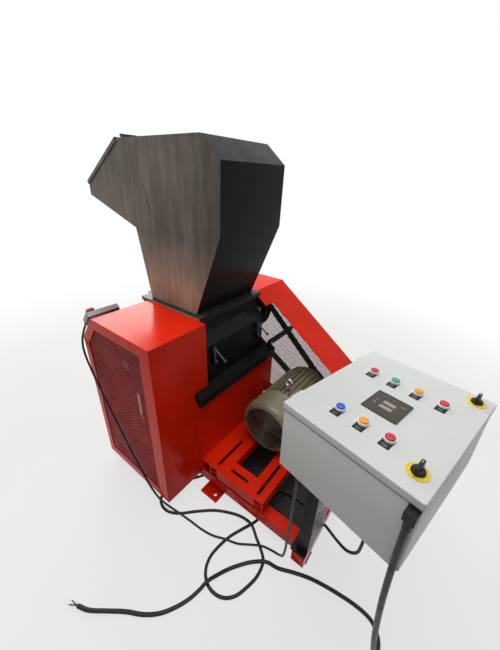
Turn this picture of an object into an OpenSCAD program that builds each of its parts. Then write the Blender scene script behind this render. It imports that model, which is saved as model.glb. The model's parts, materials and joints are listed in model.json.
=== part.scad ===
// Plastic granulator: a belt driven knife rotor in a steel chamber under a tilting
// feed hopper, with a flanged foot motor, two mesh guards, a pull out granulate bin
// and a control cabinet on a pedestal.
// The origin is the centre of the four anchor holes, on the floor. X runs along the
// rotor from the flywheel to the belt drive, +Y points to the feed side, +Z is up.

/* [Base frame] */
// Clear height under the frame beams
foot_h = 50; // [45:1:60]
// Side of the square frame beams
beam = 60; // [50:1:64]
// How far the beams reach in front of the rotor middle
frame_front = 884; // [870:1:900]
// How far the beams reach behind the rotor middle
frame_back = 375; // [365:1:390]
// How far the front beam reaches to the left
outrigger = 370; // [368:1:390]
// Distance of each anchor hole from the middle, in X and in Y
anchor_at = 345; // [340:1:350]
// Diameter of the anchor holes
anchor_d = 18; // [14:1:20]
// Thickness of the foot plates
foot_plate_t = 12; // [8:1:15]

/* [Housing] */
// Left wall of the lower housing
housing_left = 327; // [325:1:335]
// Right wall of the lower housing
housing_right = 300; // [296:1:305]
// Front wall of the lower housing
housing_front = 244; // [240:1:250]
// Back edge of the lower housing
housing_back = 300; // [296:1:310]
// Height of the top of the lower housing
housing_top = 571; // [560:1:580]
// Sheet of the housing, the bin and the guards
sheet = 4; // [3:0.5:5]

/* [Cutting chamber] */
// Thickness of the bed plate that carries the chamber
bed_t = 48; // [40:1:52]
// Half of the inner width of the chamber
chamber_half = 215; // [205:1:218]
// Thickness of the chamber end plates
end_t = 25; // [20:1:28]
// Thickness of the other chamber walls
wall_t = 12; // [10:1:14]
// Height of the joint between chamber and hopper
joint_z = 960; // [955:1:970]
// Thickness of each of the two joint flanges
flange_t = 10; // [8:1:12]
// Height of the rotor axis
rotor_z = 760; // [755:1:765]
// Distance of the rotor axis behind the middle
rotor_y = 50; // [45:1:55]
// Radius swept by the rotor knives
rotor_r = 160; // [150:1:162]
// Diameter of the rotor shaft in the chamber and the bearings
shaft_d = 70; // [60:1:76]
// Diameter of the shaft ends
shaft_end_d = 60; // [50:1:64]
// Gap between rotor knives and bed knives
knife_gap = 3; // [2:0.5:5]

/* [Guards] */
// Distance of both outer mesh faces from the middle
guard_x = 544; // [540:1:550]
// Front face of the flywheel guard
cover_front = 210; // [200:1:215]
// Back face of both guards
cover_back = 327; // [320:1:340]
// Start of the sloped back corner, behind the middle
chamfer_y = 210; // [190:1:230]
// Foot of the sloped back corner
chamfer_z = 830; // [800:1:860]
// Front face of the belt guard
belt_guard_front = 700; // [690:1:720]
// Where the slope of the belt guard starts
slope_top_y = 124; // [115:1:135]
// Height of the belt guard at its front face
slope_low_z = 533; // [520:1:545]
// Inner face of the front part of the belt guard
belt_guard_inner = 310; // [305:1:320]
// Thickness of the mesh
mesh_t = 3; // [2:0.5:4]

/* [Drive] */
// Diameter of the rotor pulley
rotor_pulley_d = 300; // [280:1:310]
// Diameter of the motor pulley
motor_pulley_d = 180; // [160:1:190]
// Middle of the belt drive, along X
belt_x = 440; // [436:1:444]
// Width of one belt
belt_w = 13; // [10:0.5:14]
// Height of one belt
belt_h = 10; // [8:0.5:11]
// Distance from belt to belt
belt_pitch = 17; // [16:0.5:18]
// Diameter of the flywheel
flywheel_d = 370; // [340:1:380]
// Width of the flywheel
flywheel_w = 80; // [60:1:90]

/* [Motor] */
// Distance of the motor axis in front of the rotor middle
motor_y = 464; // [460:1:470]
// Height of the top of the motor base
motor_base_z = 205; // [200:1:215]
// Shaft height of the motor above its feet
motor_h = 160; // [157:1:165]
// Distance between the foot holes across the motor
foot_a = 254; // [250:1:258]
// Distance between the foot holes along the motor
foot_b = 210; // [200:1:220]
// Diameter of the motor shaft
motor_shaft_d = 42; // [38:1:48]
// Outer diameter of the fan cowl
cowl_d = 300; // [290:1:304]
// End of the fan cowl, left of the middle
cowl_end = 85; // [80:1:95]

/* [Hopper] */
// Half of the outer width of the hopper
hopper_half = 211; // [208:1:212]
// Sheet of the hopper
hopper_sheet = 4; // [3:0.5:5]
// Height of the top of the hopper
hopper_top = 1686; // [1680:1:1700]
// Height of the front bend of the hopper
hopper_bend = 1344; // [1330:1:1360]
// Reach of the feed spout behind the middle
spout_y = 656; // [645:1:670]
// How far the hopper tips back, in degrees
hopper_tip = 75; // [60:1:80]

/* [Control cabinet] */
// Length of the cabinet door
cab_l = 500; // [490:1:520]
// Width of the cabinet door
cab_w = 400; // [390:1:410]
// Depth of the cabinet with its door
cab_d = 250; // [240:1:260]
// Place of the middle of the door, along X
cab_x = -269; // [-280:1:-260]
// Place of the middle of the door, along Y
cab_y = -1004; // [-1010:1:-995]
// Height of the middle of the door
cab_z = 977; // [960:1:1000]
// Turn of the cabinet about the vertical
cab_yaw = -13.25; // [-15:0.25:-12]
// Fall of the door towards its hinges
cab_tilt = -2; // [-4:0.25:0]
// Rise of the door towards its right end
cab_roll = 1; // [0:0.25:2]

/* [Cables] */
// Diameter of the cable of the stop station
stop_cable_d = 10; // [9:0.5:11]
// Diameter of the supply cable
supply_cable_d = 16; // [14:0.5:17]
// Diameter of the motor cable
motor_cable_d = 14; // [12:0.5:14.5]

/* [Hidden] */
$fn = 48;
red = [0.78, 0.10, 0.04];
black = [0.05, 0.05, 0.06];
olive = [0.45, 0.41, 0.27];
steel = [0.62, 0.63, 0.65];
grey = [0.80, 0.82, 0.82];
cast = [0.28, 0.29, 0.31];
yellow = [0.93, 0.74, 0.08];
// Overrun of every cut past the faces it opens
over = 1;
// Clearance at rest between bodies that move past each other
gap = 0.3;
// Radial clearance of a shaft or pin in its own bore
fit = 0.05;
// Number of sides of a hexagon head
hexagon = 6;

// Prism along X with its outline given in Y and Z
module along_x(x0, x1) {
    translate([x0, 0, 0]) rotate([90, 0, 90]) linear_extrude(x1 - x0) children();
}
// Round bar along X between two places
module rod_x(x0, x1, r, y = 0, z = 0) {
    translate([x0, y, z]) rotate([0, 90, 0]) cylinder(h = x1 - x0, r = r);
}
// Block between two opposite corners
module block(a, b) {
    translate(a) cube(b - a);
}
// Outward normal of the edge from p to q of an anticlockwise outline
function outward(p, q) = [q[1] - p[1], p[0] - q[0]] / norm(q - p);
// Outline moved inwards by its own distance at each edge, edge i from point i on
function inset(pts, d) = let (n = len(pts)) [
    for (i = [0:n - 1]) let (
        a = (i + n - 1) % n,
        n1 = -outward(pts[a], pts[i]),
        n2 = -outward(pts[i], pts[(i + 1) % n]),
        c1 = n1 * pts[i] + d[a],
        c2 = n2 * pts[i] + d[i],
        det = n1[0] * n2[1] - n1[1] * n2[0]
    ) [(c1 * n2[1] - n1[1] * c2) / det, (n1[0] * c2 - c1 * n2[0]) / det]
];
// Square grid of openings that fill a rectangle
module grid(low, high, pitch, wire) {
    nx = floor((high[0] - low[0]) / pitch);
    ny = floor((high[1] - low[1]) / pitch);
    sx = (high[0] - low[0]) / nx;
    sy = (high[1] - low[1]) / ny;
    for (i = [0:nx - 1], j = [0:ny - 1])
        translate([low[0] + i * sx + wire / 2, low[1] + j * sy + wire / 2])
            square([sx - wire, sy - wire]);
}

// Base frame
frame_z = foot_h;
frame_top = foot_h + beam;
left_beam = -(housing_left - beam / 2);
right_beam = housing_right - beam / 2;
// Side of the short posts between plates, beams and motor base
post = 40;
foot_plate_w = 100;
// Rails of the motor base
rail_w = 98;
rail_h = 60;
rail_t = 6;
rail_end = 337;
back_rail_y = -352;
front_rail_y = -589;
slot_w = 16;
slot_inset = 27;
slot_l = 200;
cross_slot_l = 110;
anchor_edge = 30;

module foot(x, y, hole_x, hole_y) {
    low = [min(x, hole_x) - anchor_edge, min(y, hole_y) - anchor_edge, 0];
    high = [max(x, hole_x) + anchor_edge, max(y, hole_y) + anchor_edge, foot_plate_t];
    block(low, high);
    block([x - post / 2, y - post / 2, 0], [x + post / 2, y + post / 2, frame_z + over]);
}
front_foot_y = -frame_front + beam / 2;
back_foot_y = anchor_at - foot_plate_w / 2;
module beam_x(x0, x1, y0) {
    block([x0, y0, frame_z], [x1, y0 + beam, frame_top]);
}
module base_frame() color(red) difference() {
    union() {
        for (x = [left_beam, right_beam]) {
            block([x - beam / 2, -frame_front, frame_z], [x + beam / 2, frame_back, frame_top]);
            for (y = [back_rail_y, front_rail_y])
                block([x - post / 2, y - post / 2, frame_top - over],
                      [x + post / 2, y + post / 2, motor_base_z - rail_h]);
        }
        beam_x(-outrigger, right_beam, -frame_front);
        beam_x(left_beam, right_beam, -housing_front);
        beam_x(left_beam, right_beam, housing_back - beam);
        for (s = [-1, 1]) {
            x = s < 0 ? left_beam : right_beam;
            foot(x, -back_foot_y, s * anchor_at, -anchor_at);
            foot(x, back_foot_y, s * anchor_at, anchor_at);
        }
        for (x = [left_beam, right_beam])
            foot(x, front_foot_y, x, front_foot_y);
    }
    for (sx = [-1, 1], sy = [-1, 1])
        translate([sx * anchor_at, sy * anchor_at, -over])
            cylinder(h = foot_plate_t + 2 * over, d = anchor_d);
}

// Channel open at the bottom, along X, with its top at the motor base
module rail(y) {
    difference() {
        block([-rail_end, y - rail_w / 2, motor_base_z - rail_h],
              [rail_end, y + rail_w / 2, motor_base_z]);
        block([-rail_end - over, y - rail_w / 2 + rail_t, motor_base_z - rail_h - over],
              [rail_end + over, y + rail_w / 2 - rail_t, motor_base_z - rail_t]);
    }
}
rail_pad = post / 2 + rail_t;
module motor_base() color(red) difference() {
    union() {
        rail(back_rail_y);
        rail(front_rail_y);
        for (s = [-1, 1]) {
            x0 = s < 0 ? -rail_end : rail_end - rail_w;
            difference() {
                block([x0, front_rail_y, motor_base_z - rail_h],
                      [x0 + rail_w, back_rail_y, motor_base_z]);
                block([x0 + rail_t, front_rail_y - over, motor_base_z - rail_h - over],
                      [x0 + rail_w - rail_t, back_rail_y + over, motor_base_z - rail_t]);
            }
        }
        block([-rail_end, back_rail_y + rail_w / 2 - rail_t, motor_base_z - rail_t],
              [housing_right, -housing_front, motor_base_z]);
        // Pads that seat on the posts of the frame
        for (x = [left_beam, right_beam], y = [back_rail_y, front_rail_y])
            block([x - rail_pad, y - rail_w / 2, motor_base_z - rail_h],
                  [x + rail_pad, y + rail_w / 2, motor_base_z - rail_h + rail_t]);
    }
    for (y = [-motor_y - foot_a / 2, -motor_y + foot_a / 2]) {
        block([-rail_end + slot_inset, y - slot_w / 2, motor_base_z - rail_t - over],
              [-rail_end + slot_inset + slot_l, y + slot_w / 2, motor_base_z + over]);
        block([motor_hole_x - foot_b - slot_inset, y - slot_w / 2, motor_base_z - rail_t - over],
              [motor_hole_x + slot_inset, y + slot_w / 2, motor_base_z + over]);
    }
    for (s = [-1, 1]) {
        x = s * (rail_end - rail_w / 2);
        block([x - slot_w / 2, -motor_y - cross_slot_l / 2, motor_base_z - rail_t - over],
              [x + slot_w / 2, -motor_y + cross_slot_l / 2, motor_base_z + over]);
    }
}

// Housing and bin
bin_open_top = 440;
bin_side = 30;
bin_front_y = -180;
bin_lip = 15;
bin_high = 320;
bin_travel = 350;
bin_floor = frame_top + gap;
handle_d = 14;
handle_l = 160;
handle_out = 45;
module base_housing() color(red) difference() {
    block([-housing_left, -housing_front, frame_top], [housing_right, housing_back, housing_top]);
    block([-housing_left + sheet, -housing_front + sheet, frame_top - over],
          [housing_right - sheet, housing_back - sheet, housing_top + over]);
    block([-housing_left + bin_side, housing_back - sheet - over, frame_top - over],
          [housing_right - bin_side, housing_back + over, bin_open_top]);
}
// Bow handle along X on a face that looks to +Y
module bow_handle(x, y, z, l, out, d) {
    for (s = [-1, 1])
        translate([x + s * (l - d) / 2, y, z]) rotate([-90, 0, 0]) cylinder(h = out, d = d);
    rod_x(x - l / 2, x + l / 2, d / 2, y + out, z);
}
module granulate_bin() color(steel) {
    low = [-housing_left + bin_side + gap, bin_front_y, bin_floor];
    high = [housing_right - bin_side - gap, housing_back + gap + sheet, bin_floor + bin_high];
    difference() {
        block(low, high);
        block(low + [sheet, sheet, sheet], high + [-sheet, -sheet, over]);
    }
    block([low[0] - bin_lip, housing_back + gap, low[2]],
          [high[0] + bin_lip, housing_back + gap + sheet, bin_open_top + bin_lip]);
    bow_handle((low[0] + high[0]) / 2, high[1], bin_floor + bin_high / 2, handle_l, handle_out, handle_d);
}

// Cutting chamber
bed_top = housing_top + bed_t;
bed_bar_t = 20;
bed_bar_left = 345;
bed_bar_right = 290;
bed_open_half = 175;
bearing_h = 80;
bearing_w = 60;
bearing_l = 220;
bearing_foot = 25;
bearing_r = 58;
bearing_out = 15;
pad_z = rotor_z - bearing_h;
chamber_out = chamber_half + end_t;
bearing_x = chamber_out + bearing_out + bearing_w / 2;
chamber_back = 250;
// Front outline of the chamber, from the flange down
upper_y = -134;
slant_top_z = 870;
slant_y = -191;
slant_low_z = 819;
slant_drop = 9;
end_hole_d = 90;
flange_front = -170;
flange_back = 265;
throat_front = -121.5;
throat_back = 211.5;
flange_z = joint_z - flange_t;
screen_t = 6;
screen_gap = 8;
screen_r = rotor_r + screen_gap;
screen_from = 200;
screen_to = 340;
knife_t = 15;
rotor_side = 5;
seat_t = 40;
seat_y = 12;

module bed_plate() color(black) {
    difference() {
        block([-housing_left, -housing_front, housing_top], [housing_right, housing_back, bed_top]);
        block([-chamber_half, rotor_y - bed_open_half, housing_top - over],
              [chamber_half, rotor_y + bed_open_half, bed_top + over]);
    }
    block([-bed_bar_left, -housing_front - bed_bar_t, housing_top],
          [bed_bar_right, -housing_front, bed_top]);
    for (s = [-1, 1])
        block([s * bearing_x - bearing_w / 2, rotor_y - bearing_l / 2, bed_top],
              [s < 0 ? -bearing_x + bearing_w / 2 : housing_right, rotor_y + bearing_l / 2, pad_z]);
}
end_outline = [
    [slant_y, bed_top], [chamber_back, bed_top], [chamber_back, flange_z],
    [upper_y, flange_z], [upper_y, slant_top_z], [slant_y, slant_low_z]
];
module end_plates() color(black) for (s = [-1, 1])
    difference() {
        along_x(s < 0 ? -chamber_out : chamber_half, s < 0 ? -chamber_half : chamber_out)
            polygon(end_outline);
        rod_x(s * chamber_out - end_t - over, s * chamber_out + end_t + over, end_hole_d / 2,
              rotor_y, rotor_z);
    }
module chamber_walls() color(black) {
    difference() {
        block([-chamber_out, flange_front, flange_z], [chamber_out, flange_back, joint_z]);
        block([-hopper_half + hopper_sheet, throat_front + hopper_sheet, flange_z - over],
              [hopper_half - hopper_sheet, throat_back - hopper_sheet, joint_z + over]);
    }
    along_x(-chamber_half, chamber_half) polygon([
        [upper_y, flange_z], [upper_y, slant_top_z], [slant_y, slant_low_z],
        [slant_y, slant_low_z - slant_drop], [slant_y + wall_t, slant_low_z - slant_drop],
        [upper_y + wall_t, slant_top_z - slant_drop], [upper_y + wall_t, flange_z]
    ]);
    block([-chamber_half, chamber_back - wall_t, bed_top], [chamber_half, chamber_back, flange_z]);
    // Seats of the two bed knives
    block([-chamber_half, slant_y + wall_t, rotor_z - knife_t / 2 - seat_t],
          [chamber_half, rotor_y - rotor_r - seat_y, rotor_z - knife_t / 2]);
    block([-chamber_half, rotor_y + rotor_r + seat_y, rotor_z - knife_t / 2 - seat_t],
          [chamber_half, chamber_back - wall_t, rotor_z - knife_t / 2]);
}
// Swing bolts that close the front cover
bolt_in = 35;
bolt_x = chamber_half - bolt_in;
pivot_y = slant_y - 14;
pivot_z = 725;
pivot_d = 10;
eye_r = 11;
eye_w = 12;
ear_t = 6;
ear_gap = 0.5;
rod_d = 12;
lug_z = 782;
lug_t = 12;
lug_out = 18;
lug_half = 18;
slot_gap = 1;
nut_h = 10;
nut_d = 22;
lever_l = 78;
lever_d = 10;
lever_fall = 32;
knob_d = 16;
module front_cover() color(black) {
    block([-chamber_half, slant_y, bed_top], [chamber_half, slant_y + wall_t, slant_low_z - slant_drop]);
    for (s = [-1, 1]) {
        for (e = [-1, 1]) {
            inner = s * bolt_x + e * (eye_w / 2 + ear_gap);
            outer = inner + e * ear_t;
            block([min(inner, outer), pivot_y, pivot_z - eye_r],
                  [max(inner, outer), slant_y, pivot_z + eye_r]);
            rod_x(min(inner, outer), max(inner, outer), eye_r, pivot_y, pivot_z);
        }
        rod_x(s * bolt_x - eye_w / 2 - ear_gap - ear_t, s * bolt_x + eye_w / 2 + ear_gap + ear_t,
              pivot_d / 2, pivot_y, pivot_z);
        // Slotted lug that the bolt drops into
        difference() {
            block([s * bolt_x - lug_half, slant_y - lug_out, lug_z],
                  [s * bolt_x + lug_half, slant_y, lug_z + lug_t]);
            slot_half = rod_d / 2 + slot_gap;
            block([s * bolt_x - slot_half, slant_y - lug_out - over, lug_z - over],
                  [s * bolt_x + slot_half, pivot_y + slot_half, lug_z + lug_t + over]);
        }
    }
}
module swing_bolt(x) {
    nut_z = lug_z + lug_t + gap;
    difference() {
        union() {
            rod_x(x - eye_w / 2, x + eye_w / 2, eye_r, pivot_y, pivot_z);
            translate([x, pivot_y, pivot_z]) cylinder(h = nut_z - pivot_z + nut_h + eye_r, d = rod_d);
            translate([x, pivot_y, nut_z]) cylinder(h = nut_h, d = nut_d, $fn = hexagon);
        }
        rod_x(x - eye_w / 2 - over, x + eye_w / 2 + over, pivot_d / 2 + fit, pivot_y, pivot_z);
    }
    translate([x, pivot_y, nut_z + nut_h / 2]) rotate([90 + lever_fall, 0, 0]) {
        cylinder(h = lever_l, d = lever_d);
        translate([0, 0, lever_l]) sphere(d = knob_d);
    }
}
module swing_bolt_left() color(steel) swing_bolt(-bolt_x);
module swing_bolt_right() color(steel) swing_bolt(bolt_x);
module bed_knives() color(steel) {
    block([-chamber_half, slant_y + wall_t, rotor_z - knife_t / 2],
          [chamber_half, rotor_y - rotor_r - knife_gap, rotor_z + knife_t / 2]);
    block([-chamber_half, rotor_y + rotor_r + knife_gap, rotor_z - knife_t / 2],
          [chamber_half, chamber_back - wall_t, rotor_z + knife_t / 2]);
}
// Ring sector about the rotor axis
module ring_sector(r0, r1, from, to) {
    reach = 2 * r1;
    intersection() {
        difference() {
            circle(r = r1);
            circle(r = r0);
        }
        polygon([for (a = [from, (2 * from + to) / 3, (from + 2 * to) / 3, to])
            reach * [cos(a), sin(a)], [0, 0]]);
    }
}
screen_hole_d = 14;
screen_pitch = 33;
screen_turn = 16;
screen_rows = 12;
module screen() color(steel) translate([0, rotor_y, rotor_z]) difference() {
    along_x(-chamber_half, chamber_half)
        ring_sector(screen_r, screen_r + screen_t, screen_from, screen_to);
    for (a = [screen_from + screen_turn / 2:screen_turn:screen_to - screen_turn / 2], i = [1:screen_rows])
        translate([(i - (screen_rows + 1) / 2) * screen_pitch, 0, 0]) rotate([a - 90, 0, 0])
            translate([0, 0, screen_r - screen_t])
            cylinder(h = 3 * screen_t, d = screen_hole_d, $fn = 24);
}
cradle_t = 15;
cradle_w = 14;
cradle_bar_in = 106;
cradle_bar_h = 24;
module screen_cradle() color(cast) {
    translate([0, rotor_y, rotor_z]) for (x = [-chamber_half, -cradle_w / 2, chamber_half - cradle_w])
        along_x(x, x + cradle_w)
            ring_sector(screen_r + screen_t, screen_r + screen_t + cradle_t, screen_from, screen_to);
    for (s = [-1, 1])
        block([-chamber_half, rotor_y + (s < 0 ? -bed_open_half : cradle_bar_in), bed_top - cradle_bar_h],
              [chamber_half, rotor_y + (s < 0 ? -cradle_bar_in : bed_open_half), bed_top]);
}
bearing_bolt_d = 24;
bearing_bolt_at = 85;
module bearings() color(cast) for (s = [-1, 1]) {
    x0 = s * bearing_x - bearing_w / 2;
    difference() {
        union() {
            block([x0, rotor_y - bearing_l / 2, pad_z],
                  [x0 + bearing_w, rotor_y + bearing_l / 2, pad_z + bearing_foot]);
            block([x0, rotor_y - bearing_r, pad_z], [x0 + bearing_w, rotor_y + bearing_r, rotor_z]);
            rod_x(x0, x0 + bearing_w, bearing_r, rotor_y, rotor_z);
            for (e = [-1, 1])
                translate([s * bearing_x, rotor_y + e * bearing_bolt_at, pad_z])
                    cylinder(h = bearing_foot + bearing_bolt_d / 2, d = bearing_bolt_d, $fn = hexagon);
        }
        rod_x(x0 - over, x0 + bearing_w + over, shaft_d / 2 + fit, rotor_y, rotor_z);
    }
}

// Rotor
shaft_step = 330;
shaft_left = 505;
shaft_right = 500;
hub_r = 80;
hub_gap = 10;
hub_half = chamber_half - hub_gap;
arm_t = 44;
arm_r = 132;
blade_t = 14;
blade_l = 130;
blade_low = 92;
segments = 3;
arms = 3;
seg_l = 2 * hub_half / segments;
stagger = 360 / arms / segments;
module rotor_shaft() color(steel) {
    rod_x(-shaft_step, shaft_step, shaft_d / 2, rotor_y, rotor_z);
    rod_x(-shaft_left, shaft_right, shaft_end_d / 2, rotor_y, rotor_z);
}
// Places its children at each knife, with +Y across the blade and +Z outwards
module each_knife() {
    for (i = [0:segments - 1], k = [0:arms - 1])
        translate([-hub_half + (i + 1 / 2) * seg_l, rotor_y, rotor_z])
            rotate([360 / arms * k + stagger * i, 0, 0]) children();
}
module rotor_hub() color(cast) difference() {
    union() {
        rod_x(-hub_half, hub_half, hub_r, rotor_y, rotor_z);
        each_knife() block([-blade_l / 2, -arm_t, 0], [blade_l / 2, 0, arm_r]);
    }
    rod_x(-hub_half - over, hub_half + over, shaft_d / 2 + fit, rotor_y, rotor_z);
}
knife_bolt_d = 18;
knife_bolt_h = 8;
knife_bolt_at = 35;
knife_bolt_z = 115;
module rotor_knives() color(steel) each_knife() {
    block([-blade_l / 2, 0, blade_low], [blade_l / 2, blade_t, rotor_r - blade_t / 2]);
    for (s = [-1, 1])
        translate([s * knife_bolt_at, blade_t, knife_bolt_z]) rotate([-90, 0, 0])
            cylinder(h = knife_bolt_h, d = knife_bolt_d, $fn = hexagon);
}
flywheel_x = -430;
rim_t = 40;
web_t = 24;
wheel_hub_r = 60;
web_holes = 5;
web_hole_d = 55;
web_hole_at = (flywheel_d / 2 - rim_t + wheel_hub_r) / 2;
module flywheel() color(cast) translate([flywheel_x, rotor_y, rotor_z]) difference() {
    rod_x(-flywheel_w / 2, flywheel_w / 2, flywheel_d / 2);
    for (s = [-1, 1]) {
        x0 = s < 0 ? -flywheel_w / 2 - over : web_t / 2;
        difference() {
            rod_x(x0, x0 + (flywheel_w - web_t) / 2 + over, flywheel_d / 2 - rim_t);
            rod_x(x0 - over, x0 + flywheel_w, wheel_hub_r);
        }
    }
    for (k = [0:web_holes - 1])
        rotate([360 / web_holes * k, 0, 0]) rod_x(-web_t, web_t, web_hole_d / 2, 0, web_hole_at);
    rod_x(-flywheel_w, flywheel_w, shaft_end_d / 2 + fit);
}

// Belt drive
belts = 3;
belt_sit = 2;
belt_side = 0.5;
groove_deep = 3;
pulley_w = belts * belt_pitch + belt_pitch / 2;
pulley_web_holes = 4;
// Grooved pulley about the X axis
module pulley(d, bore) {
    r = d / 2;
    groove_r = r - belt_sit - belt_h - groove_deep;
    rotate([0, 90, 0]) rotate_extrude($fn = 96) difference() {
        translate([bore / 2 + fit, -pulley_w / 2]) square([r - bore / 2 - fit, pulley_w]);
        for (i = [0:belts - 1]) {
            y = (i - (belts - 1) / 2) * belt_pitch;
            half = belt_w / 2 + belt_side;
            polygon([[groove_r, y - half], [r + over, y - half - belt_side],
                     [r + over, y + half + belt_side], [groove_r, y + half]]);
        }
    }
}
module rotor_pulley() color(cast) translate([belt_x, rotor_y, rotor_z]) difference() {
    pulley(rotor_pulley_d, shaft_end_d);
    for (k = [0:pulley_web_holes - 1])
        rotate([360 / pulley_web_holes * k, 0, 0])
            rod_x(-pulley_w, pulley_w, web_hole_d / 2, 0, (rotor_pulley_d + shaft_end_d) / 4 - belt_h);
}
motor_z = motor_base_z + motor_h;
module motor_pulley() color(cast) translate([belt_x, -motor_y, motor_z])
    pulley(motor_pulley_d, motor_shaft_d);
// Closed outline around two circles at the rotor and the motor axis, arc by arc
belt_steps = 36;
function arc(c, r, from, to) = [
    for (i = [0:belt_steps]) let (a = from + (to - from) * i / belt_steps) c + r * [cos(a), sin(a)]
];
function belt_outline(r1, r2) = let (
    c1 = [rotor_y, rotor_z],
    c2 = [-motor_y, motor_z],
    run = c2 - c1,
    ahead = atan2(run[1], run[0]),
    wrap = acos((r1 - r2) / norm(run))
) concat(arc(c1, r1, ahead + wrap, ahead + 360 - wrap), arc(c2, r2, ahead - wrap, ahead + wrap));
module drive_belts() color(black) for (i = [0:belts - 1]) {
    x = belt_x + (i - (belts - 1) / 2) * belt_pitch;
    r1 = rotor_pulley_d / 2 - belt_sit;
    r2 = motor_pulley_d / 2 - belt_sit;
    along_x(x - belt_w / 2, x + belt_w / 2) difference() {
        polygon(belt_outline(r1, r2));
        polygon(belt_outline(r1 - belt_h, r2 - belt_h));
    }
}

// Guards
cover_outline = [
    [-cover_front, frame_z], [cover_back, frame_z], [cover_back, chamfer_z],
    [chamfer_y, joint_z], [-cover_front, joint_z]
];
// Borders of the mesh window at the bottom, back, corner, top and front
cover_border = [50, 43, 45, 53, 70];
guard_outline = [
    [-belt_guard_front, frame_z], [cover_back, frame_z], [cover_back, chamfer_z],
    [chamfer_y, joint_z], [-slope_top_y, joint_z], [-belt_guard_front, slope_low_z]
];
guard_border = [60, 50, 50, 60, 62, 60];
guard_sheet = 3;
mesh_lap = 15;
mesh_wire = 6;
mesh_pitch = 33;
function all_edges(pts, d) = [for (p = pts) d];
// Sheet walls that follow an outline between two places
module band(outline, x0, x1) {
    along_x(x0, x1) difference() {
        polygon(outline);
        polygon(inset(outline, all_edges(outline, guard_sheet)));
    }
}
// Space above the bed plate and behind the front face of the flywheel guard
module upper_space(x0, x1) {
    block([x0, -cover_front, bed_top], [x1, cover_back, joint_z]);
}
module guard_face(outline, border, x0) {
    along_x(x0, x0 + guard_sheet) difference() {
        polygon(outline);
        polygon(inset(outline, border));
    }
}
module flywheel_guard() color(red) {
    band(cover_outline, -guard_x, -housing_left);
    intersection() {
        band(cover_outline, -housing_left, -chamber_out);
        upper_space(-housing_left, -chamber_out);
    }
    guard_face(cover_outline, cover_border, -guard_x);
}
module mesh(outline, border, x0) {
    window = inset(outline, border);
    low = [min([for (p = window) p[0]]), min([for (p = window) p[1]])];
    high = [max([for (p = window) p[0]]), max([for (p = window) p[1]])];
    along_x(x0, x0 + mesh_t) difference() {
        polygon(inset(outline, border - all_edges(outline, mesh_lap)));
        intersection() {
            polygon(window);
            grid(low, high, mesh_pitch, mesh_wire);
        }
    }
}
module flywheel_mesh() color(red) mesh(cover_outline, cover_border, -guard_x + guard_sheet);
module belt_guard() color(red) {
    band(guard_outline, belt_guard_inner, guard_x);
    intersection() {
        band(guard_outline, housing_right, belt_guard_inner);
        block([housing_right, -cover_front, frame_z], [belt_guard_inner, cover_back, joint_z]);
    }
    intersection() {
        band(guard_outline, chamber_out, housing_right);
        upper_space(chamber_out, housing_right);
    }
    guard_face(guard_outline, guard_border, guard_x - guard_sheet);
}
module belt_mesh() color(red)
    mesh(guard_outline, guard_border, guard_x - guard_sheet - mesh_t);
stay_d = 25;
stay_left = 265;
stay_z = 633;
module guard_stay() color(black) {
    block([stay_left, -housing_front, stay_z],
          [guard_x - guard_sheet - mesh_t, -housing_front + stay_d, stay_z + stay_d]);
    block([stay_left, -housing_front, bed_top], [stay_left + stay_d, -housing_front + stay_d, stay_z]);
}

// Motor
frame_r = 125;
fin_r = 146;
fin_t = 4;
fins = 32;
stator_r = 108;
rotor_core_r = 70;
air_gap = 1;
motor_left = 60;
motor_right = 375;
shield_t = 30;
shield_r = 136;
foot_t = 18;
foot_w = 60;
foot_bolt_d = 12;
foot_hole_d = 15;
foot_end = 26;
shaft_out = 75;
shoulder_out = 30;
foot_c = 108;
motor_hole_x = motor_right + shoulder_out - foot_c;
fan_tail = 65;
module motor_axis() translate([0, -motor_y, motor_z]) children();
module motor_frame() color(olive) {
    motor_axis() {
        difference() {
            union() {
                rod_x(motor_left, motor_right, frame_r);
                for (k = [0:fins - 1])
                    rotate([360 / fins * k, 0, 0])
                        block([motor_left + shield_t, -fin_t / 2, 0],
                              [motor_right - shield_t, fin_t / 2, fin_r]);
                // Seats of the terminal box and of the lifting eye
                block([box_x + box_edge, -fin_r, box_edge - box_drop],
                      [box_x + box_l - box_edge, 0, box_h - box_drop - box_edge]);
                translate([eye_x, 0, 0]) cylinder(h = fin_r, d = eye_stem + box_edge);
            }
            rod_x(motor_left - over, motor_right + over, stator_r);
        }
        // Laminated stator inside the frame
        difference() {
            rod_x(motor_left + shield_t, motor_right - shield_t, stator_r);
            rod_x(motor_left, motor_right, rotor_core_r + air_gap);
        }
    }
    // Feet, with a web beside each bolt that reaches up to the frame
    for (s = [-1, 1]) difference() {
        hole_y = -motor_y + s * foot_a / 2;
        web_in = hole_y - s * foot_w / 2;
        web_out = hole_y - s * ((head_d + washer_t) / 2 + gap);
        union() {
            block([motor_hole_x - foot_b - foot_end, hole_y - foot_w / 2, motor_base_z],
                  [motor_hole_x + foot_end, hole_y + foot_w / 2, motor_base_z + foot_t]);
            for (x = [motor_hole_x - foot_b, motor_hole_x])
                block([x - foot_end, min(web_in, web_out), motor_base_z],
                      [x + foot_end, max(web_in, web_out), motor_z - frame_r / 2]);
        }
        motor_axis() rod_x(motor_left - over, motor_right + over, frame_r - over);
        for (x = [motor_hole_x - foot_b, motor_hole_x])
            translate([x, hole_y, motor_base_z - over]) cylinder(h = motor_h, d = foot_hole_d);
    }
}
shield_nose = 12;
shield_hub_r = 55;
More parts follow.
